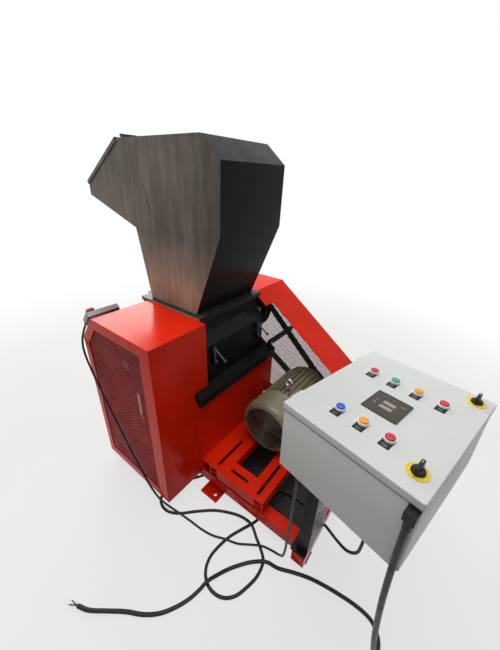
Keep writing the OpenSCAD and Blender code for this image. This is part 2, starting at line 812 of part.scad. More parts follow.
module motor_shields() color(olive) motor_axis() for (s = [-1, 1]) {
    x0 = s < 0 ? motor_left - shield_nose : motor_right;
    difference() {
        union() {
            rod_x(x0, x0 + shield_nose, shield_r);
            rod_x(s < 0 ? x0 : x0 - shield_t / 2, s < 0 ? x0 + shield_t : x0 + 2 * shield_nose,
                  shield_hub_r);
        }
        rod_x(x0 - shield_t, x0 + 2 * shield_t, motor_shaft_d / 2 + fit);
    }
}
core_left = 110;
core_right = 325;
module motor_shaft() color(steel) motor_axis() {
    rod_x(-fan_tail, belt_x + shaft_out, motor_shaft_d / 2);
    rod_x(core_left, core_right, rotor_core_r);
}
fan_left = -60;
fan_w = 40;
fan_r = 118;
fan_hub_r = 36;
fan_blades = 7;
fan_plate = 5;
module cooling_fan() color(black) motor_axis() difference() {
    union() {
        rod_x(fan_left, fan_left + fan_w, fan_hub_r);
        rod_x(fan_left + fan_w - fan_plate, fan_left + fan_w, fan_r);
        for (k = [0:fan_blades - 1])
            rotate([360 / fan_blades * k, 0, 0])
                block([fan_left + fan_plate, -fan_plate / 2, fan_hub_r - fan_plate],
                      [fan_left + fan_w - fan_plate / 2, fan_plate / 2, fan_r - fan_plate]);
    }
    rod_x(fan_left - over, fan_left + fan_w + over, motor_shaft_d / 2 + fit);
}
cowl_t = 3;
cowl_rings = 6;
cowl_ring_w = 9;
cowl_ring_pitch = 19;
cowl_spokes = 6;
cowl_spoke_w = 8;
cowl_foot_w = 18;
cowl_feet = 4;
module fan_cowl() color(olive) motor_axis() {
    difference() {
        rod_x(-cowl_end, motor_left, cowl_d / 2);
        rod_x(-cowl_end + cowl_t, motor_left + over, cowl_d / 2 - cowl_t);
        along_x(-cowl_end - over, -cowl_end + cowl_t + over) difference() {
            union() for (i = [1:cowl_rings]) difference() {
                circle(r = i * cowl_ring_pitch + cowl_ring_w);
                circle(r = i * cowl_ring_pitch);
            }
            for (k = [0:cowl_spokes - 1]) rotate([0, 0, 180 / cowl_spokes * k])
                square([cowl_d, cowl_spoke_w], center = true);
        }
    }
    // Feet of the cowl on the end shield
    for (k = [1:cowl_feet]) rotate([360 / cowl_feet * (k + 1 / 2), 0, 0])
        block([motor_left - shield_nose, -cowl_foot_w / 2, shield_r],
              [motor_left, cowl_foot_w / 2, (cowl_d - cowl_t) / 2]);
}
box_l = 130;
box_h = 110;
box_out = 62;
box_x = 150;
box_drop = 20;
box_edge = 10;
box_lid_t = 8;
module terminal_box() color(olive) {
    y0 = -motor_y - fin_r - gap;
    z0 = motor_z - box_drop;
    block([box_x, y0 - box_out, z0], [box_x + box_l, y0, z0 + box_h]);
    block([box_x - box_lid_t / 2, y0 - box_out - box_lid_t, z0 - box_lid_t / 2],
          [box_x + box_l + box_lid_t / 2, y0 - box_out, z0 + box_h + box_lid_t / 2]);
}
eye_x = 130;
eye_stem = 24;
eye_ring_r = 20;
eye_wire = 10;
washer_t = 3;
head_h = 9;
head_d = 21;
module motor_fixings() color(steel) {
    for (x = [motor_hole_x - foot_b, motor_hole_x], s = [-1, 1])
        translate([x, -motor_y + s * foot_a / 2, 0]) {
            translate([0, 0, motor_base_z - rail_h / 2])
                cylinder(h = rail_h / 2 + foot_t, d = foot_bolt_d);
            translate([0, 0, motor_base_z + foot_t]) cylinder(h = washer_t, d = head_d + washer_t);
            for (z = [motor_base_z + foot_t + washer_t, motor_base_z - rail_t - head_h])
                translate([0, 0, z]) cylinder(h = head_h, d = head_d, $fn = hexagon);
        }
    translate([eye_x, -motor_y, motor_z + fin_r]) {
        cylinder(h = eye_stem / 2, d = eye_stem);
        translate([0, 0, eye_stem / 2 + eye_ring_r]) rotate([0, 90, 0]) rotate_extrude()
            translate([eye_ring_r, 0]) circle(d = eye_wire);
    }
}

// Hopper with its welded flange, tipping about a pin behind the chamber
hopper_low = joint_z + flange_t;
spout_root_y = 277.5;
spout_root_z = 1313;
spout_low_drop = 249;
spout_low_z = hopper_top - spout_low_drop;
lip_back = 4;
lip_drop = 182;
lip_z = hopper_top - lip_drop;
mouth_y = 346;
crown_y = 180.5;
ridge_y = 280.5;
ridge_drop = 83;
ridge_z = hopper_top - ridge_drop;
crease_y = 276.5;
hopper_outline = [
    [throat_front, hopper_low], [throat_back, hopper_low], [spout_root_y, spout_root_z],
    [spout_y, spout_low_z], [spout_y - lip_back, lip_z], [mouth_y, hopper_top],
    [-crown_y, hopper_top], [-ridge_y, ridge_z], [-crease_y, hopper_bend]
];
// Edge 0 is the open throat and edge 4 the open mouth
hopper_walls = [
    for (i = [0:len(hopper_outline) - 1]) i == 0 || i == 4 ? -over : hopper_sheet
];
mouth_fall = atan2(hopper_top - lip_z, spout_y - lip_back - mouth_y);
mouth_l = norm([hopper_top - lip_z, spout_y - lip_back - mouth_y]);
lid_pin_d = 8;
lid_barrel_d = 14;
lid_barrel_half = 150;
lid_knuckle_w = 36;
lid_pin_back = 9;
lid_pin_up = 8;
lid_t = 3;
lid_side = 2;
lid_skirt = 14;
lid_over = 8;
lid_handle_at = 45;
// Frame of the feed mouth, with Y down its slope and Z out of it
module mouth_place() {
    translate([0, mouth_y, hopper_top]) rotate([-mouth_fall, 0, 0]) children();
}
module lid_pin(half, r) {
    rod_x(-half, half, r, -lid_pin_back, lid_pin_up);
}
tip_y = 292;
tip_pin_d = 16;
tip_lug_r = 16;
tip_lug_w = 20;
tip_lug_x = 150;
module tip_lug(x0, z0, z1) {
    rod_x(x0, x0 + tip_lug_w, tip_lug_r, tip_y, joint_z);
    block([x0, flange_back, z0], [x0 + tip_lug_w, tip_y, z1]);
}
module hopper_shell() color(black) {
    difference() {
        along_x(-hopper_half, hopper_half) polygon(hopper_outline);
        along_x(-hopper_half + hopper_sheet, hopper_half - hopper_sheet)
            polygon(inset(hopper_outline, hopper_walls));
    }
    difference() {
        block([-chamber_out, flange_front, joint_z + gap], [chamber_out, flange_back, hopper_low]);
        block([-hopper_half + hopper_sheet, throat_front + hopper_sheet, joint_z - over],
              [hopper_half - hopper_sheet, throat_back - hopper_sheet, hopper_low + over]);
    }
    difference() {
        for (s = [-1, 1])
            tip_lug(s < 0 ? -tip_lug_x + gap : tip_lug_x - gap - tip_lug_w, joint_z + gap, hopper_low);
        rod_x(-chamber_out, chamber_out, tip_pin_d / 2 + fit, tip_y, joint_z);
    }
    // Knuckles and pin of the feed lid
    mouth_place() {
        for (s = [-1, 1]) {
            x0 = s < 0 ? -lid_barrel_half - gap - lid_knuckle_w : lid_barrel_half + gap;
            rod_x(x0, x0 + lid_knuckle_w, lid_barrel_d / 2, -lid_pin_back, lid_pin_up);
            block([x0, -lid_pin_back - lid_barrel_d / 2, -lid_barrel_d * 3 / 4],
                  [x0 + lid_knuckle_w, -lid_pin_back, lid_pin_up]);
        }
        lid_pin(lid_barrel_half + lid_knuckle_w, lid_pin_d / 2);
    }
}
module hopper_hinge() color(steel) {
    for (s = [-1, 1])
        tip_lug(s < 0 ? -tip_lug_x - tip_lug_w : tip_lug_x, flange_z, joint_z);
    rod_x(-tip_lug_x - tip_lug_w, tip_lug_x + tip_lug_w, tip_pin_d / 2, tip_y, joint_z);
}
module feed_lid() color(black) mouth_place() {
    half = hopper_half + lid_side + lid_t;
    block([-half, 0, gap], [half, mouth_l + lid_over, gap + lid_t]);
    for (s = [-1, 1])
        block([s < 0 ? -half : half - lid_t, lid_t, -lid_skirt],
              [s < 0 ? -half + lid_t : half, mouth_l + lid_over, gap + lid_t]);
    difference() {
        union() {
            lid_pin(lid_barrel_half, lid_barrel_d / 2);
            block([-lid_barrel_half, -lid_pin_back, gap], [lid_barrel_half, lid_t, gap + lid_t]);
        }
        lid_pin(lid_barrel_half + over, lid_pin_d / 2 + fit);
    }
    translate([0, mouth_l - lid_handle_at, gap + lid_t]) rotate([90, 0, 0])
        bow_handle(0, 0, 0, handle_l, handle_out, handle_d);
}

// Stop station on the sloped corner of the flywheel guard
station_l = 155;
station_half = 35;
station_base_h = 15;
station_base_in = 2;
station_top = 41;
station_down = 43.5;
estop_at = 38;
estop_stem_d = 16;
estop_d = 40;
estop_h = 14;
estop_rise = 6;
collar_d = 34;
collar_h = 6;
corner_fall = atan2(joint_z - chamfer_z, cover_back - chamfer_y);
module station_place() {
    translate([-guard_x, chamfer_y, joint_z]) rotate([-corner_fall, 0, 0])
        translate([0, station_down, 0]) children();
}
module stop_station() color(grey) station_place() difference() {
    union() {
        block([station_base_in, -station_half + station_base_in, 0],
              [station_l - station_base_in, station_half - station_base_in, station_base_h + over]);
        block([0, -station_half, station_base_h], [station_l, station_half, station_top]);
        translate([estop_at, 0, station_top - over]) cylinder(h = collar_h + over, d = collar_d);
    }
    translate([estop_at, 0, station_base_h]) cylinder(h = station_top, d = estop_stem_d + 2 * fit);
}
module estop_button() color(red) station_place() translate([estop_at, 0, station_top]) {
    translate([0, 0, -estop_rise]) cylinder(h = collar_h + 2 * estop_rise + over, d = estop_stem_d);
    translate([0, 0, collar_h + estop_rise]) {
        cylinder(h = estop_h / 2, d = estop_d);
        translate([0, 0, estop_h / 2]) cylinder(h = estop_h / 2, d1 = estop_d, d2 = estop_d * 3 / 4);
    }
}

// Control cabinet, in its own frame: X along the door, Y towards the hinges, Z out of the door
module cabinet_place() {
    translate([cab_x, cab_y, cab_z]) rotate([cab_tilt, cab_roll, cab_yaw]) children();
}
door_h = 20;
door_t = 2;
door_over = 3;
body_l = cab_l - 2 * door_over;
body_w = cab_w - 2 * door_over;
body_top = door_h + door_over;
rim = 18;
upstand_in = 12;
seal_t = 4;
seal_w = 9;
hinge_r = 5;
hinge_pin_d = 5;
hinge_l = 24;
hinge_x = 180;
hinge_back = 6;
hinge_drop = 11;
hinge_y = cab_w / 2 + hinge_back;
leaf_t = 4;
leaf_h = 40;
button_pitch = 72.5;
near_row = [-144, 77];
near_count = 3;
far_row = [107, 115];
far_count = 4;
button_places = concat(
    [for (i = [0:near_count - 1]) [near_row[0], near_row[1] - i * button_pitch]],
    [for (i = [0:far_count - 1]) [far_row[0], far_row[1] - i * button_pitch]]
);
barrel_d = 22;
barrel_l = 30;
bezel_d = 30;
bezel_h = 8;
legend_t = 1.2;
legend_l = 34;
cap_d = 23.4;
cap_gap = 0.3;
cap_floor = 1;
cap_rise = 4.2;
cap_h = 8;
cap_dome = 2;
cap_stem_d = 8;
cap_stem_l = 18;
cam_places = [[-183, -154], [205, -158]];
cam_disc_d = 52;
cam_disc_t = 2;
cam_shaft_d = 8;
cam_shaft_l = 30;
cam_base_d = 32;
cam_base_h = 8;
cam_bar_l = 42;
cam_bar_w = 11;
cam_bar_h = 16;
meter_at = [-26, 0];
meter_l = 108;
meter_w = 106;
meter_t = 4;
meter_in = 6;
meter_depth = 60;

module cabinet_box(l, w, z0, z1) {
    block([-l / 2, -w / 2, z0], [l / 2, w / 2, z1]);
}
module cabinet_body() color(grey) cabinet_place() {
    difference() {
        cabinet_box(body_l, body_w, -cab_d, -body_top);
        cabinet_box(body_l - 2 * door_t, body_w - 2 * door_t, -cab_d + door_t, -body_top - door_t);
        cabinet_box(body_l - 2 * rim, body_w - 2 * rim, -cab_d / 2, over);
    }
    // Upstand that the seal of the door closes on
    difference() {
        l = body_l - 2 * upstand_in;
        w = body_w - 2 * upstand_in;
        cabinet_box(l, w, -body_top - door_t / 2, -door_t - seal_t);
        cabinet_box(l - 2 * door_t, w - 2 * door_t, -cab_d / 2, over);
    }
    for (s = [-1, 1]) {
        x0 = s * hinge_x - hinge_l - gap / 2;
        rod_x(x0, x0 + hinge_l, hinge_r, hinge_y, -hinge_drop);
        block([x0, hinge_y - leaf_t / 2, -leaf_h], [x0 + hinge_l, hinge_y + leaf_t / 2, -hinge_drop]);
        block([x0, body_w / 2, -leaf_h], [x0 + hinge_l, hinge_y + leaf_t / 2, -body_top - door_over]);
        rod_x(x0, x0 + 2 * hinge_l + gap, hinge_pin_d / 2, hinge_y, -hinge_drop);
    }
}
module device_holes(low, high) {
    for (p = button_places)
        translate([p[0], p[1], low]) cylinder(h = high - low, d = barrel_d + gap);
    for (p = cam_places)
        translate([p[0], p[1], low]) cylinder(h = high - low, d = cam_shaft_d + gap);
    block([meter_at[0] - meter_l / 2 + meter_in, meter_at[1] - meter_w / 2 + meter_in, low],
          [meter_at[0] + meter_l / 2 - meter_in, meter_at[1] + meter_w / 2 - meter_in, high]);
}
module cabinet_door() color(grey) cabinet_place() {
    difference() {
        cabinet_box(cab_l, cab_w, -door_h, 0);
        cabinet_box(cab_l - 2 * door_t, cab_w - 2 * door_t, -door_h - over, -door_t);
        device_holes(-door_h, over);
    }
    for (s = [-1, 1]) {
        x0 = s * hinge_x + gap / 2;
        difference() {
            union() {
                rod_x(x0, x0 + hinge_l, hinge_r, hinge_y, -hinge_drop);
                block([x0, cab_w / 2 - door_t / 2, -hinge_drop - leaf_t / 2],
                      [x0 + hinge_l, hinge_y, -hinge_drop + leaf_t / 2]);
            }
            rod_x(x0 - over, x0 + hinge_l + over, hinge_pin_d / 2 + fit, hinge_y, -hinge_drop);
        }
    }
}
module door_gasket() color(black) cabinet_place() difference() {
    l = body_l - 2 * upstand_in + seal_w - door_t;
    w = body_w - 2 * upstand_in + seal_w - door_t;
    cabinet_box(l, w, -door_t - seal_t + gap, -door_t);
    cabinet_box(l - 2 * seal_w, w - 2 * seal_w, -cab_d, 0);
}
plate_in = 30;
plate_t = 2;
standoff_h = 22;
standoff_d = 14;
device_w = 60;
device_h = 70;
device_l = 45;
device_gap = 6;
device_row = 75;
device_count = 5;
module mounting_plate() color(steel) cabinet_place() {
    low = -cab_d + door_t;
    l = body_l - 2 * plate_in;
    w = body_w - 2 * plate_in;
    top = low + standoff_h + plate_t;
    cabinet_box(l, w, low + standoff_h, top);
    for (sx = [-1, 1], sy = [-1, 1])
        translate([sx * (l / 2 - standoff_d), sy * (w / 2 - standoff_d), low])
            cylinder(h = standoff_h, d = standoff_d);
    // Two rows of contactors and breakers
    for (s = [-1, 1], i = [0:device_count - 1]) {
        x = (i - device_count / 2) * (device_l + device_gap);
        block([x, s * device_row - device_w / 2, top],
              [x + device_l, s * device_row + device_w / 2, top + device_h]);
    }
}
module display_panel() color(black) cabinet_place() {
    low = meter_at - [meter_l, meter_w] / 2;
    block([low[0], low[1], 0], [low[0] + meter_l, low[1] + meter_w, meter_t]);
    block([low[0] + meter_in + gap, low[1] + meter_in + gap, -meter_depth],
          [low[0] + meter_l - meter_in - gap, low[1] + meter_w - meter_in - gap, meter_t]);
}
module legend_plates() color(black) cabinet_place() for (p = button_places)
    difference() {
        block([p[0] - legend_l, p[1] - bezel_d / 2, 0],
              [p[0] + bezel_d / 2, p[1] + bezel_d / 2, legend_t]);
        translate([p[0], p[1], -over]) cylinder(h = legend_t + 2 * over, d = barrel_d + gap);
    }
module button_bezels() color("white") cabinet_place() for (p = button_places)
    translate([p[0], p[1], 0]) difference() {
        union() {
            translate([0, 0, legend_t]) cylinder(h = bezel_h, d = bezel_d);
            translate([0, 0, -barrel_l]) cylinder(h = barrel_l + 2 * legend_t, d = barrel_d);
        }
        translate([0, 0, legend_t + cap_floor]) cylinder(h = bezel_h, d = cap_d + 2 * cap_gap);
        translate([0, 0, legend_t - cap_stem_l - cap_rise])
            cylinder(h = cap_stem_l + cap_rise + 2 * cap_floor, d = cap_stem_d + 2 * fit);
    }
module cap(i) {
    p = button_places[i];
    cabinet_place() translate([p[0], p[1], legend_t + cap_floor + cap_rise]) {
        translate([0, 0, -cap_stem_l]) cylinder(h = cap_stem_l + over, d = cap_stem_d);
        cylinder(h = cap_h - cap_dome, d = cap_d);
        translate([0, 0, cap_h - cap_dome]) cylinder(h = cap_dome, d1 = cap_d, d2 = cap_d - 2 * cap_dome);
    }
}
blue = [0.05, 0.18, 0.75];
orange = [0.95, 0.50, 0.05];
crimson = [0.72, 0.05, 0.08];
green = [0.05, 0.50, 0.30];
module button_blue() color(blue) cap(0);
module button_orange_near() color(orange) cap(1);
module button_red_near() color(crimson) cap(2);
module button_red_far() color(crimson) cap(3);
module button_green() color(green) cap(4);
module button_orange_far() color(orange) cap(5);
module button_red_corner() color(crimson) cap(6);
module cam_discs() color(yellow) cabinet_place() for (p = cam_places)
    translate([p[0], p[1], 0]) difference() {
        cylinder(h = cam_disc_t, d = cam_disc_d);
        translate([0, 0, -over]) cylinder(h = cam_disc_t + 2 * over, d = cam_shaft_d + 2 * fit);
    }
module cam_knob(i) {
    p = cam_places[i];
    cabinet_place() translate([p[0], p[1], cam_disc_t + gap]) {
        translate([0, 0, -cam_shaft_l]) cylinder(h = cam_shaft_l + over, d = cam_shaft_d);
        cylinder(h = cam_base_h, d = cam_base_d);
        block([-cam_bar_l / 2, -cam_bar_w / 2, cam_base_h - over],
              [cam_bar_l / 2, cam_bar_w / 2, cam_base_h + cam_bar_h]);
    }
}
module cam_knob_near() color(black) cam_knob(0);
module cam_knob_far() color(black) cam_knob(1);

// Pedestal of the cabinet, on the front end of the frame
ped_left = -347;
ped_right = -167;
ped_w = 50;
ped_plate_t = 10;
ped_rim = 20;
head_t = 8;
head_low = [-150, 40];
head_high = [110, 195];
module pedestal() color(black) {
    back = ped_w - frame_front;
    difference() {
        block([ped_left, -frame_front, frame_top], [ped_right, back, cab_z]);
        cabinet_place() cabinet_box(2 * cab_l, 2 * cab_w, -cab_d - head_t + over, cab_d);
    }
    block([ped_left - ped_rim, -frame_front, frame_top],
          [ped_right + ped_rim, back + ped_rim, frame_top + ped_plate_t]);
    cabinet_place()
        block([head_low[0], head_low[1], -cab_d - head_t], [head_high[0], head_high[1], -cab_d]);
}

// Cable glands
gland_d = 24;
gland_neck_d = 19.2;
gland_nut_h = 10;
gland_l = 30;
gland_wall = 1.5;
station_gland = [14, station_half, 28];
stop_gland = [-200, 150, -cab_d];
motor_gland = [100, -20, -cab_d];
elbow_y = 184;
elbow_top = 26;
elbow_h = 26;
elbow_half = 13;
elbow = [-body_l / 2 - elbow_half, -elbow_y, -elbow_top - elbow_h];
box_gland_y = -652;
box_gland_z = 400;
// Gland along Z, closing on a cable
module gland(cable_d) {
    cylinder(h = gland_nut_h, d = gland_d, $fn = hexagon);
    cylinder(h = gland_l * 2 / 3, d = gland_neck_d);
    translate([0, 0, gland_l * 2 / 3])
        cylinder(h = gland_l / 3, d1 = gland_neck_d, d2 = cable_d + 2 * gland_wall);
}
module cable_glands() color(black) {
    station_place() translate(station_gland) rotate([-90, 0, 0]) gland(stop_cable_d);
    cabinet_place() {
        translate(stop_gland) rotate([180, 0, 0]) gland(stop_cable_d);
        translate(motor_gland) rotate([180, 0, 0]) gland(motor_cable_d);
        // Elbow of the supply cable, close under the door
        block(elbow - [elbow_half, elbow_half, 0], elbow + [elbow_half, elbow_half, elbow_h]);
        translate(elbow) rotate([180, 0, 0]) gland(supply_cable_d);
    }
    translate([box_x, box_gland_y, box_gland_z]) rotate([0, -90, 0]) gland(motor_cable_d);
}

// Tube along a row of points, with one ring at each
tube_sides = 8;
function unit(v) = v / norm(v);
function heading(pts, i) = unit(pts[min(i + 1, len(pts) - 1)] - pts[max(i - 1, 0)]);
function square_to(v, t) = unit(v - (v * t) * t);
// First side of each ring, carried along without twist
function ring_sides(pts) = [
    for (i = 0, v = square_to([1, 1, 1], heading(pts, 0));
         i < len(pts);
         i = i + 1, v = i < len(pts) ? square_to(v, heading(pts, i)) : v) v
];
module tube(pts, d) {
    n = tube_sides;
    last = len(pts) - 1;
    sides = ring_sides(pts);
    corners = [
        for (i = [0:last]) let (t = heading(pts, i), u = sides[i], w = cross(t, u))
            for (k = [0:n - 1]) pts[i] + d / 2 * (cos(360 / n * k) * u + sin(360 / n * k) * w)
    ];
    faces = concat(
        [[for (k = [0:n - 1]) k]],
        [for (i = [0:last - 1], k = [0:n - 1])
            let (a = i * n + k, b = i * n + (k + 1) % n) each [[a, a + n, b + n], [a, b + n, b]]],
        [[for (k = [0:n - 1]) last * n + n - 1 - k]]
    );
    polyhedron(corners, faces);
}
// Routes of the cables, from the gland on
stop_route = [
    [-530, 303.5, 898], [-530, 317, 883], [-537, 332, 850], [-552, 334, 800], [-562, 312, 730],
    [-562, 244, 580], [-562, 153, 427], [-562, 60, 281], [-562, -30, 160], [-560, -95, 80],
    [-554, -145, 35], [-545, -200, 20], [-536, -265, 20], [-522, -340, 8], [-514, -410, 5],
    [-503, -475, 12], [-481, -535, 20], [-455, -590, 9], [-422, -645, 16], [-396, -690, 20],
    [-386, -740, 28], [-398, -785, 70], [-425, -812, 160], [-437, -822, 320], [-437.9, -822.4, 635],
    [-436.4, -820.6, 695.4]
];
supply_route = [
    [-566.1, -1125.9, 905.9], [-567.1, -1127.1, 866], [-567, -1134, 740], [-560, -1146, 590],
    [-548, -1162, 440], [-528, -1180, 300], [-500, -1198, 180], [-464, -1212, 85], [-420, -1222, 28], [-372, -1214, 8],
    [-338, -1180, 8], [-330, -1120, 8], [-340, -1030, 8], [-360, -935, 8], [-388, -860, 8],
    [-418, -795, 8], [-438, -742, 24], [-470, -693, 12], [-512, -655, 8], [-562, -622, 10],
    [-612, -600, 18], [-650, -587, 25], [-690, -578, 14], [-735, -565, 8], [-785, -542, 8],
    [-835, -508, 8], [-877, -460, 8], [-914, -399, 8], [-959, -338, 8], [-1000, -282, 8],
    [-1020, -235, 8]
];
motor_route = [
    [119.9, -652, 400], [85, -652, 400], [52, -655, 375], [35, -660, 310], [30, -662, 230],
    [24, -662, 140], [8, -658, 60], [-28, -648, 16], [-90, -630, 7], [-170, -612, 7],
    [-245, -606, 7], [-318, -598, 7], [-385, -570, 7], [-450, -543, 7], [-517, -529, 7],
    [-575, -528, 7], [-622, -548, 7], [-651, -586, 7], [-657, -632, 7], [-642, -676, 7],
    [-608, -708, 7], [-560, -726, 7], [-500, -738, 7], [-440, -728, 7], [-406, -692, 7],
    [-378, -645, 7], [-352, -595, 21], [-350, -535, 16], [-368, -470, 7], [-408, -400, 7],
    [-470, -330, 7], [-532, -268, 7], [-562, -208, 7], [-552, -148, 7], [-505, -116, 7],
    [-445, -124, 7], [-385, -158, 7], [-325, -198, 7], [-272, -228, 7], [-244, -275, 7],
    [-234, -345, 7], [-222, -430, 7], [-190, -505, 7], [-145, -565, 10], [-108, -618, 21],
    [-88, -680, 12], [-86, -760, 7], [-100, -830, 7], [-122, -895, 7], [-146, -955, 8],
    [-166, -1010, 20], [-178, -1048, 70], [-184, -1058, 150], [-185, -1057, 350],
    [-184.2, -1056, 656], [-183.2, -1054.8, 696.1]
];
module stop_cable() color(black) tube(stop_route, stop_cable_d);
module supply_cable() color(black) tube(supply_route, supply_cable_d);
module motor_cable() color(black) tube(motor_route, motor_cable_d);

base_frame();
motor_base();
base_housing();
bed_plate();
end_plates();
chamber_walls();
front_cover();
swing_bolt_left();
swing_bolt_right();
bed_knives();
screen();
screen_cradle();
bearings();
rotor_shaft();
rotor_hub();
rotor_knives();
flywheel();
rotor_pulley();
drive_belts();
flywheel_guard();
flywheel_mesh();
belt_guard();
belt_mesh();
guard_stay();
motor_frame();
motor_shields();
motor_shaft();
cooling_fan();
fan_cowl();
terminal_box();
motor_fixings();
motor_pulley();
hopper_shell();
hopper_hinge();
feed_lid();
granulate_bin();
stop_station();
estop_button();
pedestal();
cabinet_body();
mounting_plate();
cabinet_door();
door_gasket();
display_panel();
legend_plates();
button_bezels();
button_blue();
button_orange_near();
button_red_near();
button_red_far();
button_green();
button_orange_far();
button_red_corner();
cam_discs();
cam_knob_near();
cam_knob_far();
cable_glands();
stop_cable();
supply_cable();
motor_cable();
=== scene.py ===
"""Looks of a plastic granulator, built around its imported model."""
import json
import math

import bmesh
import bpy
from mathutils import Matrix, Vector


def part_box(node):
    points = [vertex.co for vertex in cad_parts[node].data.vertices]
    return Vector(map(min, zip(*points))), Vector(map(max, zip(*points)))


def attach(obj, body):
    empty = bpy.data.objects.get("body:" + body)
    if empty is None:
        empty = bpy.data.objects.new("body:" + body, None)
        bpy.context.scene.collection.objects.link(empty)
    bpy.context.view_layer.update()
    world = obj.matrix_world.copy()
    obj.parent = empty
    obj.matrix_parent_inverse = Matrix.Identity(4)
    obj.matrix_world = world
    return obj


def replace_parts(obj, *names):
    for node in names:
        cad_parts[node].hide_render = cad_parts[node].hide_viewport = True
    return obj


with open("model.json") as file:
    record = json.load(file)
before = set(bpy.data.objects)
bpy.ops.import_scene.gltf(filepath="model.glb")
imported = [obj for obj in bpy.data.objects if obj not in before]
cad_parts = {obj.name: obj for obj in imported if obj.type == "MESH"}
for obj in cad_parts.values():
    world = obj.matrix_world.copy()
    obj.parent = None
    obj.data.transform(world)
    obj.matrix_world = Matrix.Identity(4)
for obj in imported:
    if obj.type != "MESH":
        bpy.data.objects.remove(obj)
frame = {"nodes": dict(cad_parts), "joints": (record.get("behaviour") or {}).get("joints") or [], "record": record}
NODES = frame["nodes"]
JOINTS = {joint["name"]: joint for joint in frame["joints"]}
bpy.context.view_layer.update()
MM = 0.001
HERE = Matrix.Identity(4)


# Places read from the frame
def axis_of(joint):
    return Vector(JOINTS[joint]["axis"]).normalized()


def axes_matrix(x, z, origin):
    """Matrix of a frame with these X and Z directions at an origin."""
    y = z.cross(x).normalized()
    turn = Matrix((x, y, z)).transposed()
    return Matrix.Translation(origin) @ turn.to_4x4()


def add_object(name, data):
    """New object with this data in the scene."""
    made = bpy.data.objects.new(name, data)
    bpy.context.scene.collection.objects.link(made)
    return made


def local_box(node, place):
    """Lowest and highest corner of a node, seen in the frame of place."""
    back = place.inverted()
    points = [back @ vertex.co for vertex in NODES[node].data.vertices]
    low = Vector([min(p[i] for p in points) for i in range(3)])
    high = Vector([max(p[i] for p in points) for i in range(3)])
    return low, high


def middle_of(node, place):
    """Frame at the middle of a node, its half length and half width, and its lowest and highest Z."""
    low, high = local_box(node, place)
    middle = place @ Matrix.Translation(((low.x + high.x) / 2, (low.y + high.y) / 2, 0))
    return middle, ((high.x - low.x) / 2, (high.y - low.y) / 2), low.z, high.z


CAB_HINGE_Y = 206 * MM
CAB_HINGE_Z = -11 * MM
CAB_X = -axis_of("door_hinge")
CAB_Z = -axis_of("press_blue")
CAB_Y = CAB_Z.cross(CAB_X).normalized()
CAB_AT = Vector(JOINTS["door_hinge"]["pos_m"]) - CAB_HINGE_Y * CAB_Y - CAB_HINGE_Z * CAB_Z
CAB = axes_matrix(CAB_X, CAB_Z, CAB_AT)
STATION_Z = -axis_of("estop_press")
STATION = axes_matrix(Vector((1, 0, 0)), STATION_Z, Vector((0, 0, 0)))
MOTOR = Vector(JOINTS["motor_spin"]["pos_m"])


# Camera, at the place and angle of the photograph
CAMERA_AT = Vector((-1.0675, -1.0645, 1.560))
CAMERA_RIGHT = Vector((0.6070, -0.7939, 0.0354))
CAMERA_UP = Vector((0.3407, 0.3002, 0.8909))
CAMERA_LENS = 16.357
SENSOR = 36.0


def make_camera():
    data = bpy.data.cameras.new("camera")
    data.lens = CAMERA_LENS
    data.sensor_width = SENSOR
    camera = add_object("camera", data)
    back = CAMERA_RIGHT.cross(CAMERA_UP).normalized()
    up = back.cross(CAMERA_RIGHT).normalized()
    turn = Matrix((CAMERA_RIGHT.normalized(), up, back)).transposed().to_4x4()
    camera.matrix_world = Matrix.Translation(CAMERA_AT) @ turn
    bpy.context.scene.camera = camera


make_camera()


# Materials
def start_material(name):
    material = bpy.data.materials.new(name)
    material.use_nodes = True
    tree = material.node_tree
    return material, tree, tree.nodes["Principled BSDF"]


def fill(tree, node, inputs):
    """Links each socket given for an input of a node, and writes each value."""
    for name, value in inputs.items():
        if isinstance(value, bpy.types.NodeSocket):
            tree.links.new(value, node.inputs[name])
        else:
            node.inputs[name].default_value = value


def add_node(tree, kind, inputs=None, **settings):
    """New shader node with its settings and inputs. Gives its outputs."""
    node = tree.nodes.new("ShaderNode" + kind)
    for name, value in settings.items():
        setattr(node, name, value)
    fill(tree, node, inputs or {})
    return node.outputs


def noise(tree, scale, detail, stretch=(1, 1, 1)):
    """Value of a noise in the object's own coordinates."""
    place = add_node(tree, "TexCoord")["Object"]
    place = add_node(tree, "Mapping", {"Vector": place, "Scale": stretch})["Vector"]
    return add_node(tree, "TexNoise", {"Vector": place, "Scale": scale, "Detail": detail})["Fac"]


def spread(tree, value, low, high, start=0.3, stop=0.7):
    """A value from start to stop mapped to low to high."""
    return add_node(tree, "MapRange", {"Value": value, "From Min": start, "From Max": stop,
                                       "To Min": low, "To Max": high})["Result"]


def mixed(tree, factor, first, second):
    """Mix of two colours, given as values or sockets."""
    first, second = [(*tone, 1) if isinstance(tone, tuple) else tone for tone in (first, second)]
    return add_node(tree, "Mix", {0: factor, 6: first, 7: second}, data_type="RGBA")[2]


def maths(tree, operation, *values):
    """Result of a math node on one or two sockets."""
    return add_node(tree, "Math", dict(enumerate(values)), operation=operation)[0]


def times(tree, first, second):
    return maths(tree, "MULTIPLY", first, second)


def parts_of(tree, vector):
    """Outputs X, Y and Z of a vector socket."""
    return add_node(tree, "SeparateXYZ", {0: vector})


def own_place(tree):
    """Parts of the place in the object's own coordinates."""
    return parts_of(tree, add_node(tree, "TexCoord")["Object"])


def face_normal(tree):
    """Parts of the direction that a face looks in."""
    return parts_of(tree, add_node(tree, "NewGeometry")["Normal"])


def upward(tree):
    """1 on faces that look up, 0 on the others."""
    return spread(tree, face_normal(tree)["Z"], 0, 1, 0.55, 0.95)


